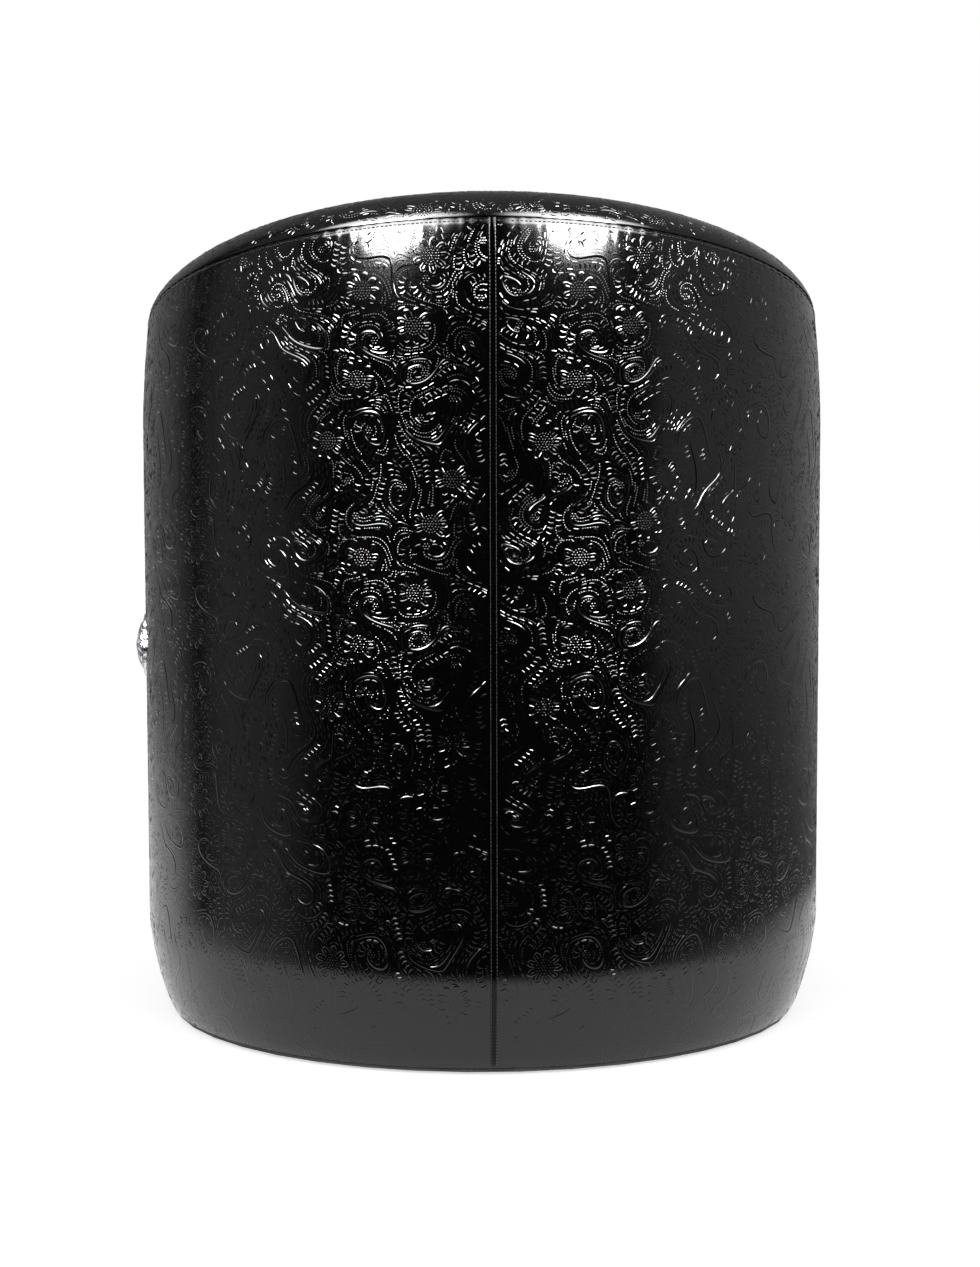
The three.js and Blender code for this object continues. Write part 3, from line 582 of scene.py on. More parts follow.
def rimStation(share):
    # share 0 to 1 from the left foot over the back to the right foot: run, height, lean and rim height
    side = np.sign(share - 0.5)
    far = np.abs(share - 0.5) * 2
    foot = 1 - rimBand["footShare"]
    corner = foot - rimBand["cornerShare"]
    angle = cornerAngle() * np.clip(far / corner, 0, 1)
    turn = cornerLean + (math.pi / 2 - cornerLean) * np.clip((far - corner) / (foot - corner), 0, 1)
    down = np.clip((far - foot) / (1 - foot), 0, 1)
    onTop = far < corner
    run = np.where(onTop, angle * wallMiddle, cornerRun + barrel["cornerRadius"] * np.sin(turn))
    height = np.where(onTop, seamHeight(angle), cornerHeight + barrel["cornerRadius"] * np.cos(turn))
    return side, run, height, np.where(onTop, seamLean(angle), turn), down


def rimPlace(share, over, lift=0.0):
    side, run, height, lean, down = rimStation(share)
    lowered = height - down * (cornerHeight - rimBand["borderTop"])
    outer = barrel["radius"] - pull(lowered, height, barrel["rimInsetReach"], rimInset(run / wallMiddle))
    inner = insideRadius(lowered, height)
    turn = math.pi * over
    radius = (outer + inner) / 2 + ((outer - inner) / 2 + lift) * np.cos(turn)
    offset = (rimBand["crown"] + lift) * np.sin(turn) ** rimBand["slant"] + rimBand["rest"]
    bend, gap = rimBand["borderRadius"], rimBand["footGap"]
    beyond = np.clip(radius - (barrel["radius"] - bend), 0, bend)
    footHeight = rimBand["borderTop"] - bend + gap + np.sqrt((bend + gap) ** 2 - beyond ** 2)
    height = height - down * (cornerHeight - footHeight)
    return at(side * (run + offset * np.sin(lean)) / wallMiddle, radius, height + offset * np.cos(lean))


def rimFlat(share, over):
    side, run, height, lean, down = rimStation(share)
    turned = np.where(run >= cornerRun, (cornerHeight + 0.02 - height) * 0.4, 0)
    along = run + turned + down * (cornerHeight - rimBand["borderTop"])
    return np.stack([side * along, over * rimBand["clothWidth"] + 1.0], -1)


def buildRimBand():
    band = addSheet("rimBand", rimBand, lambda share, over: rimPlace(share, 1 - over),
                    lambda share, over: rimFlat(share, 1 - over), flipped=True)
    finishPiece(band, "chair", glossy, ["rim_band", "rim_foam"])


buildRimBand()
print("rim band made")

# Inside back and arms, and the front border

insideCover = {"columns": 200, "rows": 60, "bottom": 0.2653, "soft": -0.0010}


def buildInsideCover():
    offset, bottom = -barrel["gap"] / 2, insideCover["bottom"]

    def run(across, up):
        angle = columnAngles(np.abs(across - 0.5) * 2, offset) * np.sign(across - 0.5)
        return angle, bottom + (edgeHeight(angle, offset) - bottom) * up

    def place(across, up):
        angle, height = run(across, up)
        soft = insideCover["soft"] * np.sin(np.clip(up, 0, 1) * math.pi) * np.sin(angle * 6.0) ** 2
        return at(angle, insideRadius(height, edgeHeight(angle)) + soft, height)

    def flat(across, up):
        angle, height = run(across, up)
        return np.stack([angle * barrel["coverInside"], height], -1)

    cover = addSheet("insideCover", insideCover, place, flat, flipped=True)
    finishPiece(cover, "chair", plain, ["inside_cover"])


frontCover = {"columns": 110, "rows": 90, "turnIn": 0.0535}
frontStraight = runTo(rimBand["borderTop"] - rimBand["borderRadius"])
frontRun = frontStraight + rimBand["borderRadius"] * math.pi / 2 + frontCover["turnIn"]
frontStart = (armEndRun + barrel["gap"] / 2) / wallMiddle


def frontSection(run):
    # up the outside like the back panels, then over the soft edge and in under the cushion
    radius, height = sectionPoint(run)
    border, bend = rimBand["borderTop"], rimBand["borderRadius"]
    turn = np.clip((run - frontStraight) / bend, 0, math.pi / 2)
    inward = np.clip(run - frontStraight - bend * math.pi / 2, 0, None)
    bent = run > frontStraight
    radius = np.where(bent, barrel["radius"] - bend + bend * np.cos(turn) - inward, radius)
    return radius, np.where(bent, border - bend + bend * np.sin(turn), height)


def frontPoint(angle, run, lift=0.0):
    radius, height = frontSection(run)
    ahead, behind = frontSection(run + 0.0005), frontSection(run - 0.0005)
    dr, dz = ahead[0] - behind[0], ahead[1] - behind[1]
    size = np.hypot(dr, dz) + 1e-9
    return at(angle, radius + lift * dz / size, height - lift * dr / size)


def buildFrontCover():
    def place(across, up):
        return frontPoint(frontStart + (2 * math.pi - 2 * frontStart) * across, frontRun * up)

    def flat(across, up):
        angle = frontStart + (2 * math.pi - 2 * frontStart) * across
        return np.stack([angle * barrel["radius"], frontRun * up], -1)

    cover = addSheet("frontCover", frontCover, place, flat)
    finishPiece(cover, "chair", glossy, ["front_cover"])


buildInsideCover()
buildFrontCover()
print("inside and front covers made")

# Stitches along the rim seams

rimStitches = {"pitch": 0.0042, "stitchLength": 0.0031, "stitchRadius": 0.0005, "below": 0.0034, "lift": 0.0001}


def outerSeam(angle):
    return outsidePoint(angle, runTo(edgeHeight(angle, -rimStitches["below"])), rimStitches["lift"])


def innerSeam(angle):
    height = edgeHeight(angle, -rimStitches["below"])
    return at(angle, insideRadius(height, edgeHeight(angle)) - rimStitches["lift"], height)


for name, seam, radius, facing in (("rimSeamStitches", outerSeam, barrel["radius"], 1.0),
                                   ("innerRimStitches", innerSeam, barrel["coverInside"], -1.0)):
    reach = float(cornerAngle())
    angles = np.linspace(-reach, reach, int(reach * 2 * radius / rimStitches["pitch"]))
    addStitches(name, seam(angles), seam(angles + 0.001), at(angles, facing, 0.0), rimStitches)
print("stitches made")

# Loose seat cushion: a foam block in a boxed leather cover, and the padded deck under it

cushion = {
    "back": 0.2448,             # radius round the back
    "front": 0.327,
    "halfWidth": 0.205,
    "middleY": 0.0406,
    "corner": 0.036,
    "frontDraw": 0.006,         # the front pulls in between its corners
    "bottom": 0.2991,
    "borderHeight": 0.108,
    "crown": 0.018,             # before the cover swells
    "seamInset": 0.0056,
    "weltRadius": 0.0036,
    "voxel": 0.006,
    "pressure": 4.0,
    "frames": 20,
    "sideRoom": 0.0045,         # how far a point may move sideways, up and down
    "topRoom": 0.011,
    "puckerDepth": 0.0007,
    "puckerPitch": 0.016,
    "puckerReach": 0.012,
    "settle": 0.0011,           # unevenness of the top
}


def cushionLine(count):
    # the cushion's outline in even steps: round at the back, straight sides, a drawn-in curve at the front
    backTurn = math.pi - math.asin(cushion["halfWidth"] / cushion["back"])
    cornerX = cushion["halfWidth"] - cushion["corner"]
    cornerY = math.sqrt((cushion["front"] - cushion["corner"]) ** 2 - cornerX ** 2)
    frontTurn = math.atan2(cornerX, cornerY)
    angles = np.linspace(-backTurn, backTurn, 240)
    back = np.stack([cushion["back"] * np.sin(angles), -cushion["back"] * np.cos(angles)], -1)
    turns = np.linspace(0, math.pi / 2 - frontTurn, 24)
    corner = np.stack([cornerX + cushion["corner"] * np.cos(turns), cornerY + cushion["corner"] * np.sin(turns)], -1)
    turns = np.linspace(frontTurn, -frontTurn, 60)[1:-1]
    radius = cushion["front"] - cushion["frontDraw"] * np.cos(math.pi * turns / 2 / frontTurn)
    front = np.stack([radius * np.sin(turns), radius * np.cos(turns)], -1)
    line = np.concatenate([back, corner, front, corner[::-1] * (-1, 1)])
    closed = np.concatenate([line, line[:1]])
    run = np.concatenate([[0], np.cumsum(np.linalg.norm(np.diff(closed, axis=0), axis=1))])
    even = np.linspace(0, run[-1], count, endpoint=False)
    return np.stack([np.interp(even, run, closed[:, k]) for k in (0, 1)], -1)


def insetLine(line, inset, height):
    middle = (0, cushion["middleY"])
    away = line - middle
    spots = away * (1 - inset / np.linalg.norm(away, axis=1, keepdims=True)) + middle
    return np.column_stack([spots, np.full(len(line), height)])


def addLoft(name, rings, ends=None):
    # rings of points one after another, closed by a point at each end, or the last joined to the first
    count = len(rings[0])
    points = [tuple(p) for ring in rings for p in ring]
    faces = []
    for k in range(len(rings) - (1 if ends else 0)):
        a, b = k * count, (k + 1) % len(rings) * count
        faces += [(a + i, a + (i + 1) % count, b + (i + 1) % count, b + i) for i in range(count)]
    if ends:
        low, high = len(points), len(points) + 1
        points += [tuple(end) for end in ends]
        last = (len(rings) - 1) * count
        faces += [((i + 1) % count, i, low) for i in range(count)]
        faces += [(last + i, last + (i + 1) % count, high) for i in range(count)]
    piece = meshPiece(name, points, faces)
    faceOutward(piece)
    return piece


def swell(piece, held, settings, low, high):
    # the cover swells from a smaller shape like blown cloth, is held at its seams, and moves only so far
    evened = piece.modifiers.new("even", "REMESH")
    evened.mode = "VOXEL"
    evened.voxel_size = cushion["voxel"]
    applyAll(piece)
    rest = spotsOf(piece)
    group = piece.vertex_groups.new(name="seams")
    group.add([int(k) for k in np.nonzero(held(rest))[0]], 1.0, "REPLACE")
    cloth = piece.modifiers.new("cloth", "CLOTH")
    cloth.settings.use_pressure = True
    cloth.settings.uniform_pressure_force = settings["pressure"]
    cloth.settings.effector_weights.gravity = 0
    cloth.settings.vertex_group_mass = "seams"
    cloth.point_cache.frame_start = 1
    cloth.point_cache.frame_end = cushion["frames"]
    for step in range(1, cushion["frames"] + 1):
        bpy.context.scene.frame_set(step)
    applyAll(piece)
    bpy.context.scene.frame_set(1)
    piece.vertex_groups.clear()
    moved = spotsOf(piece) - rest
    sideRoom, topRoom = settings["sideRoom"], settings["topRoom"]
    aside = np.linalg.norm(moved[:, :2], axis=1, keepdims=True) + 1e-9
    moved[:, :2] *= sideRoom * np.tanh(aside / sideRoom) / aside
    moved[:, 2] = topRoom * np.tanh(moved[:, 2] / topRoom)
    spots = rest + moved
    spots[:, 2] = np.clip(spots[:, 2], low, high)
    putSpots(piece, spots)


def buildCushion():
    line, middle = cushionLine(320), (0, cushion["middleY"])
    inset, crown, radius = cushion["seamInset"], cushion["crown"], cushion["weltRadius"]
    bottom, low = cushion["bottom"] + 0.0006, cushion["bottom"] + radius
    high = cushion["bottom"] + cushion["borderHeight"] - radius
    # inset and height of each ring: underside, border, crowned top
    profile = [(0.19 - 0.14 * share, bottom) for share in (0, 0.5, 1)] + [(inset + 0.008, bottom), (inset, low)]
    profile += [(inset - 0.003 * math.sin(share * math.pi), low + (high - low) * share)
                for share in (0.2, 0.4, 0.6, 0.8)]
    profile += [(inset, high)]
    profile += [(inset + (0.2 - inset) * share, high + crown * math.sin(math.pi / 2 * share ** 0.62))
                for share in (0.06, 0.14, 0.24, 0.36, 0.5, 0.66, 0.82)]
    ends = (*middle, bottom), (*middle, high + crown)
    pad = addLoft("cushion", [insetLine(line, *ring) for ring in profile], ends)

    def fromSeam(spots):
        return np.minimum(np.abs(spots[:, 2] - low), np.abs(spots[:, 2] - high))

    def held(spots):
        seam = insetLine(line[::4], inset, 0)[None, :, :2]
        gap = np.min(np.linalg.norm(spots[:, None, :2] - seam, axis=2), axis=1)
        return (gap < 0.0055) & (fromSeam(spots) < 0.0045)

    swell(pad, held, cushion, cushion["bottom"] + 0.0002, 1.0)
    finer = pad.modifiers.new("finer", "SUBSURF")
    finer.levels = finer.render_levels = 1
    applyAll(pad)
    spots = spotsOf(pad)
    gaps = spots[:, None, :2].astype(np.float32) - line[None, ::2, :2].astype(np.float32)
    run = np.argmin(np.linalg.norm(gaps, axis=2), axis=1) * 2
    run = run * np.sum(np.linalg.norm(np.diff(line, axis=0), axis=1)) / len(line)
    pucker = np.sin(2 * math.pi * run / cushion["puckerPitch"] + 1.3 * np.sin(run * 31))
    pucker *= np.exp(-fromSeam(spots) / cushion["puckerReach"])
    away = spots[:, :2] - middle
    distance = np.linalg.norm(away, axis=1, keepdims=True)
    side = (distance[:, 0] > 0.165) & (spots[:, 2] > low) & (spots[:, 2] < high + 0.012)
    depth = np.where(side, cushion["puckerDepth"] * (0.5 + 0.5 * pucker), 0)
    spots[:, :2] -= away / (distance + 1e-9) * depth[:, None]
    x, y, z = spots.T
    settle = cushion["settle"] * (np.sin(x * 23 + 1.1) * np.sin(y * 19 + 0.4) + 0.5 * np.sin(x * 47 + y * 38))
    spots[:, 2] += np.where(z > high + 0.003, settle, 0)
    putSpots(pad, spots)
    covered = ["cushion_core", "cushion_top", "cushion_border", "cushion_bottom"]
    finishPiece(pad, "cushion", plain, covered, 60)
    turns = np.arange(10) * 2 * math.pi / 10
    for end, height in (("Bottom", low), ("Top", high)):
        rings = [insetLine(line, radius * (1 - math.cos(turn)), height + radius * math.sin(turn)) for turn in turns]
        welt = addLoft("cushionWelt" + end, rings)
        finishPiece(welt, "cushion", plain, ["cushion_welt_" + end.lower()], 60)


seatDeck = {
    "low": 0.002, "sideRoom": 0.001, "topRoom": 0.004, "pressure": 3.0, "seamDepth": 0.0016, "seamWidth": 0.004,
}


def buildSeatDeck():
    lowest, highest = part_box("seat_deck")
    pad = addObject("seatDeck", nodes["seat_deck"].data.copy())
    faceOutward(pad, joined=True)
    spots = spotsOf(pad)
    spots[:, 2] -= np.where(spots[:, 2] > highest.z - 0.012, seatDeck["low"], 0)
    putSpots(pad, spots)

    def fromSeam(spots):
        return np.minimum(np.abs(spots[:, 0]), np.abs(spots[:, 1] - cushion["middleY"]))

    swell(pad, lambda spots: fromSeam(spots) < 0.004, seatDeck, lowest.z, highest.z)
    spots = spotsOf(pad)
    seam = seatDeck["seamDepth"] * np.exp(-(fromSeam(spots) / seatDeck["seamWidth"]) ** 2)
    spots[:, 2] -= np.where(spots[:, 2] > highest.z - 0.008, seam, 0)
    putSpots(pad, spots)
    finishPiece(pad, "chair", finishes["deckCloth"], ["seat_deck"], 60)


buildCushion()
print("cushion made")
buildSeatDeck()
print("seat deck made")

# Concho on the left side: rope edge, ring of beads, fluted dome and a round boss

concho = {
    "height": 0.365, "seat": 0.3341, "radius": 0.031, "edge": 0.0026, "dome": 0.0080, "boss": 0.0011,
    "petals": 12, "columns": 288, "rope": 0.0007, "bead": 0.0010, "flute": 0.0019, "back": 0.0012,
}


def conchoHeight(share, turn):
    # height over the seat at a share of the radius
    edge, top = concho["edge"], concho["edge"] + concho["dome"]

    def bulge(place):
        return np.sqrt(np.clip(1 - place ** 2, 0, 1))

    petal = np.abs(np.cos(turn * concho["petals"] / 2))
    rope = edge + concho["rope"] * np.abs(np.sin(turn * 30 + share * 9)) ** 0.6
    rope = rope * np.sqrt(np.clip((1.0 - share) / 0.03, 0, 1)) ** 0.5
    beads = edge + concho["bead"] * bulge((share - 0.80) / 0.045) * np.abs(np.sin(turn * 24)) ** 0.5
    flutes = concho["flute"] * (1 - petal ** 0.5) * np.clip(share / 0.3, 0, 1) * np.clip((0.80 - share) / 0.06, 0, 1)
    boss = top + concho["boss"] * bulge(share / 0.19) - 0.0002
    return np.select([share < 0.19, share < 0.23, share > 0.90, share > 0.86, share > 0.75],
                     [boss, edge + concho["dome"] * 0.90, rope, edge * 0.45, beads],
                     edge + concho["dome"] * bulge(share / 0.80) - flutes)


def buildConcho():
    shares = [0.04, 0.09, 0.13, 0.165, 0.185, 0.2, 0.22, 0.235, *np.linspace(0.26, 0.72, 14),
              0.745, 0.755, 0.77, 0.785, 0.80, 0.815, 0.83, 0.845, 0.858, 0.868, 0.885, 0.898, 0.907,
              0.925, 0.95, 0.97, 0.985, 1.0]
    turns = np.arange(concho["columns"]) * 2 * math.pi / concho["columns"]
    scallop = 0.045 * np.abs(np.cos(turns * concho["petals"] / 2)) ** 0.8 - 0.03

    def ringAt(share, height):
        spread = concho["radius"] * share * (1 + scallop * np.clip((share - 0.5) / 0.5, 0, 1))
        around, up = spread * np.cos(turns), spread * np.sin(turns)
        return np.stack([-(concho["seat"] + height), around, concho["height"] + up], -1)

    rings = [ringAt(share, conchoHeight(np.full(len(turns), share), turns)) for share in shares]
    rings += [ringAt(share, np.full(len(turns), -concho["back"])) for share in (1.0, 0.5)]
    top = concho["seat"] + concho["edge"] + concho["dome"] + concho["boss"] - 0.0002
    ends = [(-away, 0, concho["height"]) for away in (top, concho["seat"] - concho["back"])]
    finishPiece(addLoft("conchoRosette", rings, ends), "chair", silver, ["concho"], 45)


buildConcho()
print("concho made")

# Tooling: raised strokes that flow round scrolls, with flowers between them, repeated like a pressed hide

tooling = {
    "tileWidth": 0.200,
    "tileHeight": 0.240,
    "columns": 4,
    "rows": 6,
    "jitter": 0.0145,
    "swirl": 0.018,
    "inward": 0.48,
    "pitch": 0.0025,
    "step": 0.0024,
    "strokeLengths": (0.012, 0.034),
    "strokeWidth": 0.0021,
    "strokeRise": (0.00008, 0.00036),
    "stemWidth": 0.0027,
    "stemRise": 0.00038,
    "rungLength": 0.0052,       # short bars across a run
    "rungPitch": 0.0050,
    "petals": 9,
    "flowerRadius": 0.0170,
    "beadRings": ((0.0, 1), (0.0026, 6), (0.0052, 12), (0.0077, 18)),
    "kindShares": (0.36, 0.46), # runs that are rows of beads, then broken into dashes
    "beadRadius": 0.00100,
    "beadRise": (0.00014, 0.00028),
    "lowShare": 0.58,           # share of the rise left on the lower half, where the hide was pulled thin
    "sink": 0.00008,            # feet of the strokes below the leather's face
    "seamGap": 0.006,           # bare leather along the seams
    "tries": (800, 9000),       # starts tried for ladders, then for the rest
    "cell": 0.0004,
    "seed": 11,
}


def toolingStrokes():
    width, height = tooling["tileWidth"], tooling["tileHeight"]
    pitch, cell, strokeWidth = tooling["pitch"], tooling["cell"], tooling["strokeWidth"]
    rnd = random.Random(tooling["seed"])
    centres, turns, flowers, reaches = [], [], [], []
    for i in range(tooling["columns"]):
        for j in range(tooling["rows"]):
            x = (i + 0.5 + 0.25 * (j % 2)) * width / tooling["columns"] + rnd.uniform(-1, 1) * tooling["jitter"]
            y = (j + 0.5) * height / tooling["rows"] + rnd.uniform(-1, 1) * tooling["jitter"]
            centres.append((x, y))
            turns.append(1.0 if (i + j) % 2 else -1.0)
            flowers.append((i * 5 + j * 3) % 4 == 1)
            reaches.append(rnd.uniform(0.85, 1.2) * tooling["swirl"])
    middles, spins, sizes = np.array(centres), np.array(turns), np.array(reaches)

    def flow(x, y):
        dx = (x - middles[:, 0] + width / 2) % width - width / 2
        dy = (y - middles[:, 1] + height / 2) % height - height / 2
        weight = np.exp(-(dx * dx + dy * dy) / (2 * sizes * sizes)) / sizes
        vx = float(np.sum((-spins * dy - tooling["inward"] * dx) * weight))
        vy = float(np.sum((spins * dx - tooling["inward"] * dy) * weight))
        size = math.hypot(vx, vy) + 1e-12
        return vx / size, vy / size

    across, up = int(round(width / cell)), int(round(height / cell))
    near, crowded = np.zeros((up, across), bool), np.zeros((up, across), bool)

    def disc(radius):
        reach = int(radius / cell) + 1
        ys, xs = np.mgrid[-reach:reach + 1, -reach:reach + 1]
        keep = (xs * xs + ys * ys) * cell * cell <= radius * radius
        return xs[keep], ys[keep]

    def stamp(x, y, nearSpots, crowdedSpots):
        for grid, spots in ((near, nearSpots), (crowded, crowdedSpots)):
            grid[(int(y / cell) + spots[1]) % up, (int(x / cell) + spots[0]) % across] = True

    def taken(grid, x, y):
        return grid[int(y / cell) % up, int(x / cell) % across]

    nearDisc, crowdedDisc = disc(pitch * 0.78), disc(pitch * 0.98)
    strokes, beads = [], []

    def addRing(x, y, radius, count):
        turns = np.arange(count) * 2 * math.pi / count
        beads.extend((x + radius * math.cos(a), y + radius * math.sin(a)) for a in turns)

    def addStroke(line, strokeWidth, rise, kind="line"):
        for (x0, y0), (x1, y1) in zip(line, line[1:]):
            count = max(1, int(math.hypot(x1 - x0, y1 - y0) / (2 * cell)))
            for k in range(count + 1):
                x, y = x0 + (x1 - x0) * k / count, y0 + (y1 - y0) * k / count
                stamp(x, y, nearDisc, crowdedDisc)
        if kind == "beads":
            beads.extend(line)
        elif kind == "dashes":
            for k in range(0, len(line) - 1, 3):
                if len(line[k:k + 3]) > 1:
                    strokes.append((line[k:k + 3], strokeWidth, rise))
        elif kind == "rungs":
            every = max(1, round(tooling["rungPitch"] / tooling["step"]))
            for (x0, y0), (x1, y1) in list(zip(line, line[1:]))[::every]:
                size = math.hypot(x1 - x0, y1 - y0) + 1e-12
                dx, dy = (x1 - x0) / size, (y1 - y0) / size
                half = tooling["rungLength"] / 2
                rung = [(x0 - dy * half * k + dx * 0.0008 * abs(k), y0 + dx * half * k + dy * 0.0008 * abs(k))
                        for k in (-1, 0, 1)]
                strokes.append((rung, strokeWidth, rise))
        else:
            strokes.append((line, strokeWidth, rise))

    def trace(x, y, way, longest):
        line, length, step = [(x, y)], 0.0, tooling["step"]
        while length < longest:
            vx, vy = flow(x, y)
            vx, vy = flow(x + way * vx * step / 2, y + way * vy * step / 2)
            x, y = x + way * vx * step, y + way * vy * step
            if taken(near, x, y):
                break
            line.append((x, y))
            length += step
        return line

    for (x, y), flower in zip(centres, flowers):
        room = disc(tooling["flowerRadius"] + 0.001 if flower else 0.0036)
        stamp(x, y, room, room)
        for ring in tooling["beadRings"][:4 if flower else 2]:
            addRing(x, y, *ring)
        petals = tooling["petals"] if flower else 0
        for a in (k * 2 * math.pi / petals for k in range(petals)):
            petal = []
            for b in (m / 4 - 1 for m in range(9)):
                far = 0.0094 + 0.0072 * max(math.cos(b * math.pi / 2), 0) ** 0.55
                petal.append((x + far * math.cos(a + b * 0.31), y + far * math.sin(a + b * 0.31)))
            vein = [(x + q * math.cos(a), y + q * math.sin(a)) for q in (0.0100, 0.0118, 0.0136)]
            strokes.extend([(petal, 0.0027, 0.00030), (vein, 0.0024, 0.00024)])

    for (x, y), flower in zip(centres, flowers):
        if not flower:
            base = rnd.uniform(0, 2 * math.pi)
            for k, kind in enumerate(("line", "beads")):
                a = base + k * 0.5
                px, py = x + 0.0044 * math.cos(a), y + 0.0044 * math.sin(a)
                line = [] if taken(near, px, py) else trace(px, py, -1, 0.085)
                if len(line) > 4:
                    addStroke(line, tooling["stemWidth"], tooling["stemRise"], kind)
    # ladders of short bars, then the rest in lines, dashes and rows of beads
    wideDisc = disc(tooling["rungLength"] * 0.62)
    ladderTries, lineTries = tooling["tries"]
    for k in range(ladderTries):
        x, y = rnd.uniform(0, width), rnd.uniform(0, height)
        line = trace(x, y, 1, 0.022)
        clear = all(not taken(crowded, px + ox, py + oy) for px, py in line
                    for ox, oy in ((0.003, 0), (-0.003, 0), (0, 0.003), (0, -0.003)))
        if len(line) > 5 and clear:
            addStroke(line, strokeWidth, rnd.uniform(0.5, 0.9) * tooling["strokeRise"][1], "rungs")
            for px, py in line:
                stamp(px, py, wideDisc, wideDisc)
    for k in range(lineTries):
        x, y = rnd.uniform(0, width), rnd.uniform(0, height)
        if taken(crowded, x, y):
            continue
        longest = rnd.uniform(*tooling["strokeLengths"]) / 2
        line = trace(x, y, -1, longest)[::-1] + trace(x, y, 1, longest)[1:]
        if len(line) > 2:
            share = rnd.random()
            beaded, dashed = tooling["kindShares"]
            kind = "beads" if share < beaded else "dashes" if share < beaded + dashed else "line"
            addStroke(line, strokeWidth, rnd.uniform(*tooling["strokeRise"]), kind)
    return strokes, np.array(beads)


def strokeArrays(strokes):
    # centre points, side steps and rises of each stroke in a tile
    arrays = []
    for line, width, rise in strokes:
        line = np.array(line)
        ahead = np.gradient(line, axis=0)
        ahead /= np.linalg.norm(ahead, axis=1, keepdims=True) + 1e-12
        n = len(line)
        taper = np.sin(math.pi * (np.arange(n) + 0.5) / n) ** 0.55 if n > 2 else np.full(n, 0.8)
        side = np.stack([-ahead[:, 1], ahead[:, 0]], -1) * (taper * width / 2)[:, None]
        arrays.append((line, side, rise * (0.25 + 0.75 * taper)))
    return arrays


tileStrokes, tileBeads = toolingStrokes()
tile = strokeArrays(tileStrokes)
tileMiddles = np.array([line.mean(0) for line, side, rise in tile])
print("tooling drawn:", len(tile), "strokes and", len(tileBeads), "beads in a tile")


def tiled(middle, low, high):
    # which marks of the tile fall between low and high, and where each copy of the tile stands
    width, height = tooling["tileWidth"], tooling["tileHeight"]
    for column in range(math.floor(low[0] / width), math.floor(high[0] / width) + 1):
        for row in range(math.floor(low[1] / height), math.floor(high[1] / height) + 1):
            shift = np.array([column * width, row * height])
            centre = middle + shift
            for index in np.nonzero(((centre >= low) & (centre < high)).all(1))[0]:
                yield index, shift


def toolPiece(name, low, high, inside, place):
    # the tile repeated from low to high in metres on the leather, kept where inside() holds, raised by place()
    flats, lifts, faces, first = [], [], [], 0
    sink = tooling["sink"]
    for index, shift in tiled(tileMiddles, low, high):
        line, side, rise = tile[index]
        points, n = line + shift, len(line)
        if not inside(*points.T).all():
            continue
        # a steep side, a gentle crest and a middling side, as a modelling tool leaves them
        flats.append(np.stack([points + side * share for share in (1, 0.3, -0.4, -1)], 1).reshape(-1, 2))
        lifts.append(np.stack([np.full(n, -sink), rise, rise * 0.55, np.full(n, -sink)], 1).ravel())
        for a in range(first, first + 4 * (n - 1), 4):
            faces += [(a + m, a + m + 4, a + m + 5, a + m + 1) for m in range(3)] + [(a, a + 3, a + 7, a + 4)]
        end = first + 4 * (n - 1)
        faces += [tuple(range(first, first + 4)), tuple(range(end + 3, end - 1, -1))]
        first += 4 * n
    turns = np.arange(5) * 2 * math.pi / 5
    ring = np.stack([np.sin(turns), -np.cos(turns)], -1) * tooling["beadRadius"]
    lowRise, highRise = tooling["beadRise"]
    for index, shift in tiled(tileBeads, low, high):
        spot = tileBeads[index] + shift
        if not inside(spot[:1], spot[1:]).all():
            continue
        flats.append(np.concatenate([ring + spot, spot[None]]))
        lifts.append(np.array([-sink] * 5 + [lowRise + (highRise - lowRise) * (index * 0.37 % 1)]))
        faces += [(first + k, first + (k + 1) % 5, first + 5) for k in range(5)]
        faces.append(tuple(first + k for k in (4, 3, 2, 1, 0)))
        first += 6
    u, v = np.concatenate(flats).T
    piece = meshPiece(name, place(u, v, np.concatenate(lifts)).tolist(), faces)
    faceOutward(piece)
    finishPiece(piece, "chair", glossy, (), 12)
    print(name, "marks", len(flats), "triangles", sum(len(face) - 2 for face in faces))


def toolOutside():
    radius, gap = barrel["radius"], tooling["seamGap"]
    reach = armEndRun / wallMiddle * radius

    def inside(u, v):
        angle = u / radius
        shown = (v > gap) & (v < runTo(edgeHeight(angle, -gap)))
        return shown & (np.abs(u) > 0.0052) & (np.abs(angle) * wallMiddle < armEndRun - 0.004)

    def place(u, v, lift):
        share = tooling["lowShare"] + (1 - tooling["lowShare"]) * np.clip((v - 0.2) / 0.34, 0, 1)
        return outsidePoint(u / radius, v, lift * share)

    for hand, low, high in (("Right", 0.0, reach), ("Left", -reach, 0.0)):
        for part, bottom, top in (("Lower", 0.0, 0.27), ("Middle", 0.27, 0.54), ("Upper", 0.54, 0.9)):
            toolPiece("tooling" + hand + part, (low, bottom), (high, top), inside, place)


def toolRim():
    shares = np.linspace(0.5, 0.995, 400)
    runs = rimFlat(shares, np.full(len(shares), 0.5))[:, 0]
    reach = runs[-1]

    def place(u, v, lift):
        share = 0.5 + np.sign(u) * (np.interp(np.abs(u), runs, shares) - 0.5)
        return rimPlace(share, (v - 1.0) / rimBand["clothWidth"], lift)

    def inside(u, v):
        return (v > 1.005) & (v < 1.093) & (np.abs(u) < reach - 0.004)

    for hand, low, high in (("Left", -reach, 0.0), ("Right", 0.0, reach)):
        toolPiece("toolingRim" + hand, (low, 1.0), (high, 1.1), inside, place)


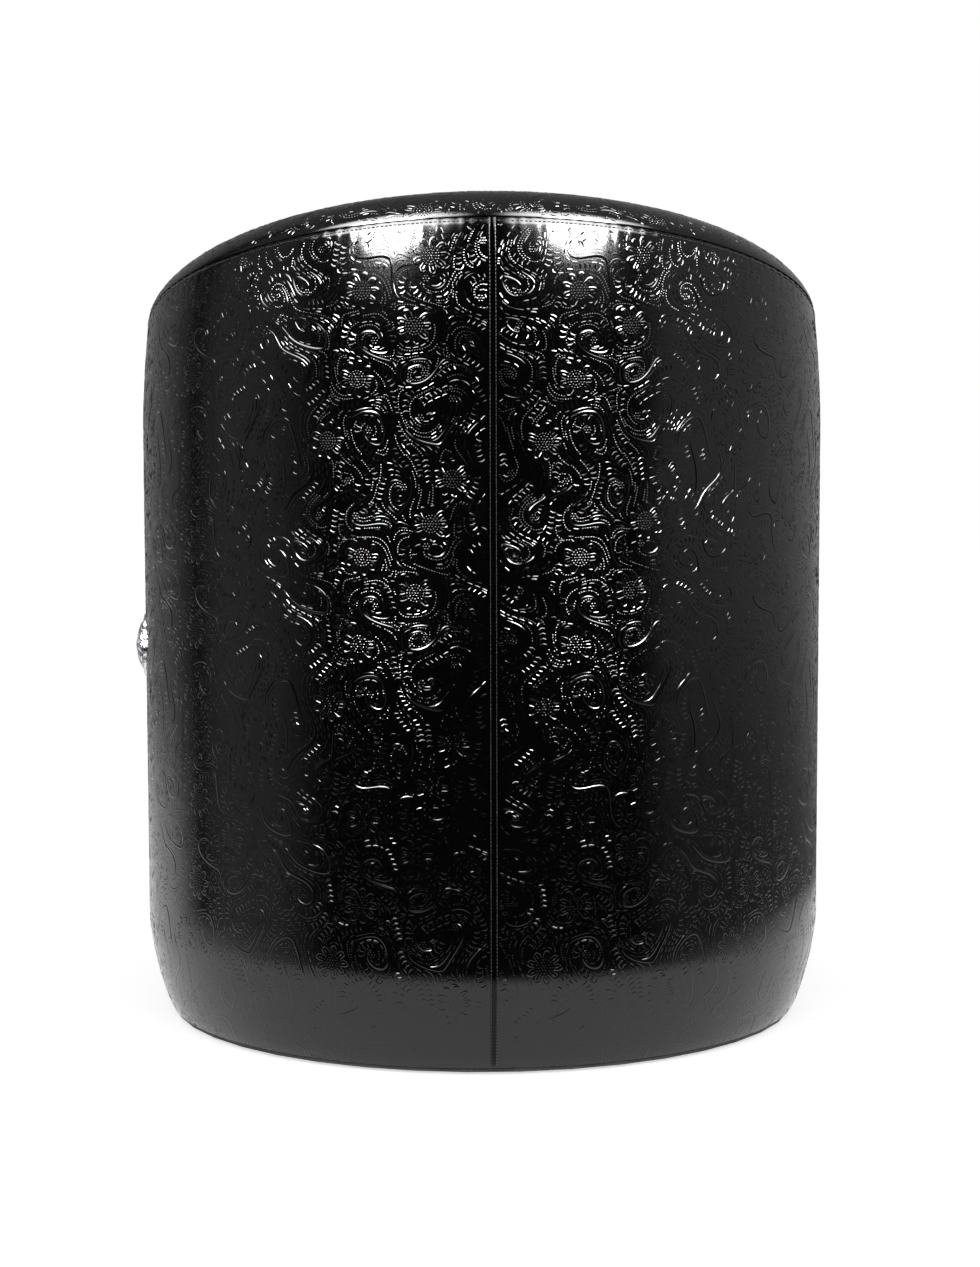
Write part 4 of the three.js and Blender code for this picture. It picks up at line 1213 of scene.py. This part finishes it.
def toolFront():
    radius = barrel["radius"]
    low, middle, high = frontStart * radius + 0.004, math.pi * radius, (2 * math.pi - frontStart) * radius - 0.004

    def inside(u, v):
        return (u > low) & (u < high) & (v > tooling["seamGap"]) & (v < frontRun - 0.03)

    def place(u, v, lift):
        return frontPoint(u / radius, v, lift)

    for hand, start, end in (("Right", low, middle), ("Left", middle, high)):
        toolPiece("toolingFront" + hand, (start, 0.0), (end, frontRun), inside, place)


toolOutside()
toolRim()
toolFront()

# Camera: the photograph's place and lens

view = {
    "distance": 3.35, "height": 0.757, "azimuth": -1.73, "pitch": 0.1137, "aside": 0.0023, "roll": -0.0021,
    "focalPixels": 3366, "photoPixels": 1267, "sensor": 36,     # the longer side of the photograph
}


def addCamera():
    data = bpy.data.cameras.new("camera")
    camera = addObject("camera", data)
    turn, far = math.radians(view["azimuth"]), view["distance"]
    place = Matrix.Translation((far * math.sin(turn), -far * math.cos(turn), view["height"]))
    for angle, axis in ((turn - view["aside"], "Z"), (math.pi / 2 - view["pitch"], "X"), (view["roll"], "Z")):
        place = place @ Matrix.Rotation(angle, 4, axis)
    camera.matrix_world = place
    data.sensor_width = view["sensor"]
    data.lens = view["focalPixels"] * view["sensor"] / view["photoPixels"]
    bpy.context.scene.camera = camera


addCamera()

# Studio: pale floor, two soft boxes in front of the back, white all round except behind the camera

studio = {
    "boxAzimuths": (-38, 36), "boxElevation": 23, "boxDistance": 2.3, "boxWidth": 1.05, "boxHeight": 0.6,
    "boxGloss": 110, "boxLight": 11, "feather": 24, "featherRaise": 10, "aim": (0, -0.3, 0.74),
    "floorTone": "f2f2f1", "floorGlow": 0.62, "sweep": (0.80, 0.70), "sweepMiddle": 0.06,
    "ceiling": 0.45, "light": 0.45,
}


def addFloor():
    # one pale plane; the gloss mirrors it only round the chair, as on a small sweep of paper
    deselectAll()
    bpy.ops.mesh.primitive_plane_add(size=10, location=(0, 0, 0))
    floor = bpy.context.object
    floor.name = "floor"
    material, paint, point = newMaterial("floor")
    rays = paint.node("ShaderNodeLightPath")
    seen = Value(paint, rays.outputs["Is Camera Ray"])
    mirrored = Value(paint, rays.outputs["Is Glossy Ray"])
    x, y, z = paint.parts(point)
    halfX, halfY = studio["sweep"]
    across, along = x / halfX, (y - studio["sweepMiddle"]) / halfY
    beyond = paint.ramp(paint.maths("SQRT", across * across + along * along), 0.8, 1.15)
    diffuse = paint.node("ShaderNodeBsdfDiffuse", None, Color=rgb(studio["floorTone"]))
    glow = paint.node("ShaderNodeEmission", None, Strength=(seen + mirrored) * studio["floorGlow"])
    both = paint.node("ShaderNodeAddShader")
    mixed = paint.node("ShaderNodeMixShader", None, Fac=mirrored * beyond)
    paint.join(diffuse, both)
    paint.join(glow, both, 1)
    paint.join(both, mixed, 1)
    paint.join(paint.node("ShaderNodeBsdfTransparent"), mixed, 2)
    paint.join(mixed, paint.node("ShaderNodeOutputMaterial"))
    floor.data.materials.append(material)


def addBoxes():
    # each box twice: one that only the gloss mirrors, one that only lights the colours
    rise = math.radians(studio["boxElevation"])
    for azimuth, power in ((a, p) for a in studio["boxAzimuths"] for p in ("boxGloss", "boxLight")):
        turn = math.radians(azimuth)
        data = bpy.data.lights.new("softBox", "AREA")
        data.shape = "ELLIPSE"
        data.size, data.size_y = studio["boxWidth"], studio["boxHeight"]
        data.energy = studio[power]
        lamp = addObject("softBox", data)
        lamp.visible_diffuse = power == "boxLight"
        lamp.visible_glossy = power == "boxGloss"
        way = Vector((math.sin(turn) * math.cos(rise), -math.cos(turn) * math.cos(rise), math.sin(rise)))
        lamp.location = Vector(studio["aim"]) + way * studio["boxDistance"]
        lamp.rotation_euler = way.to_track_quat("Z", "Y").to_euler()


def addWorld():
    world = bpy.data.worlds.new("studio")
    bpy.context.scene.world = world
    world.use_nodes = True
    paint = Paint(world.node_tree)
    x, y, z = paint.parts(paint.node("ShaderNodeTexCoord").outputs["Generated"])
    flat = paint.maths("SQRT", x * x + y * y + 1e-6)
    ahead = (0 - y) / flat            # 1 towards the camera's side
    right = x / flat
    rightWall = paint.ramp(ahead, 0.66, 0.4) * paint.ramp(z, -0.2, -0.06, 0.13, 0.42)
    leftFar = paint.ramp(ahead, -0.3, -0.72) * paint.ramp(z, -0.12, -0.2, 0.3, 1.0)
    leftNear = paint.ramp(ahead, 0.62, 0.2) * paint.ramp(ahead, -0.5, -0.05) * 0.3
    leftWall = paint.maths("MAXIMUM", leftFar, leftNear)
    isRight = paint.ramp(right, -0.3, 0.3)
    walls = isRight * rightWall + (1 - isRight) * leftWall
    ceiling = paint.ramp(z, 0.62, 0.92) * studio["ceiling"]
    mirrored = paint.maths("MAXIMUM", walls, ceiling) + 0.003
    # feathered light round each box, which the marks' slopes catch
    rise = math.radians(studio["boxElevation"] + studio["featherRaise"])
    for azimuth in studio["boxAzimuths"]:
        turn = math.radians(azimuth)
        toBox = x * (math.sin(turn) * math.cos(rise)) - y * (math.cos(turn) * math.cos(rise)) + z * math.sin(rise)
        mirrored = mirrored + paint.ramp(toBox, 0.88, 0.985) * paint.ramp(z, 0.33, 0.46) * studio["feather"]
    rays = paint.node("ShaderNodeLightPath")
    camera = Value(paint, rays.outputs["Is Camera Ray"])
    glossyRay = Value(paint, rays.outputs["Is Glossy Ray"])
    strength = camera + (1 - camera) * (glossyRay * mirrored + (1 - glossyRay) * studio["light"])
    background = paint.node("ShaderNodeBackground", None, Strength=strength, Color=(1, 1, 1, 1))
    paint.join(background, paint.node("ShaderNodeOutputWorld"))


addFloor()
addBoxes()
addWorld()
bpy.context.scene.view_settings.view_transform = "Standard"
print("studio made")
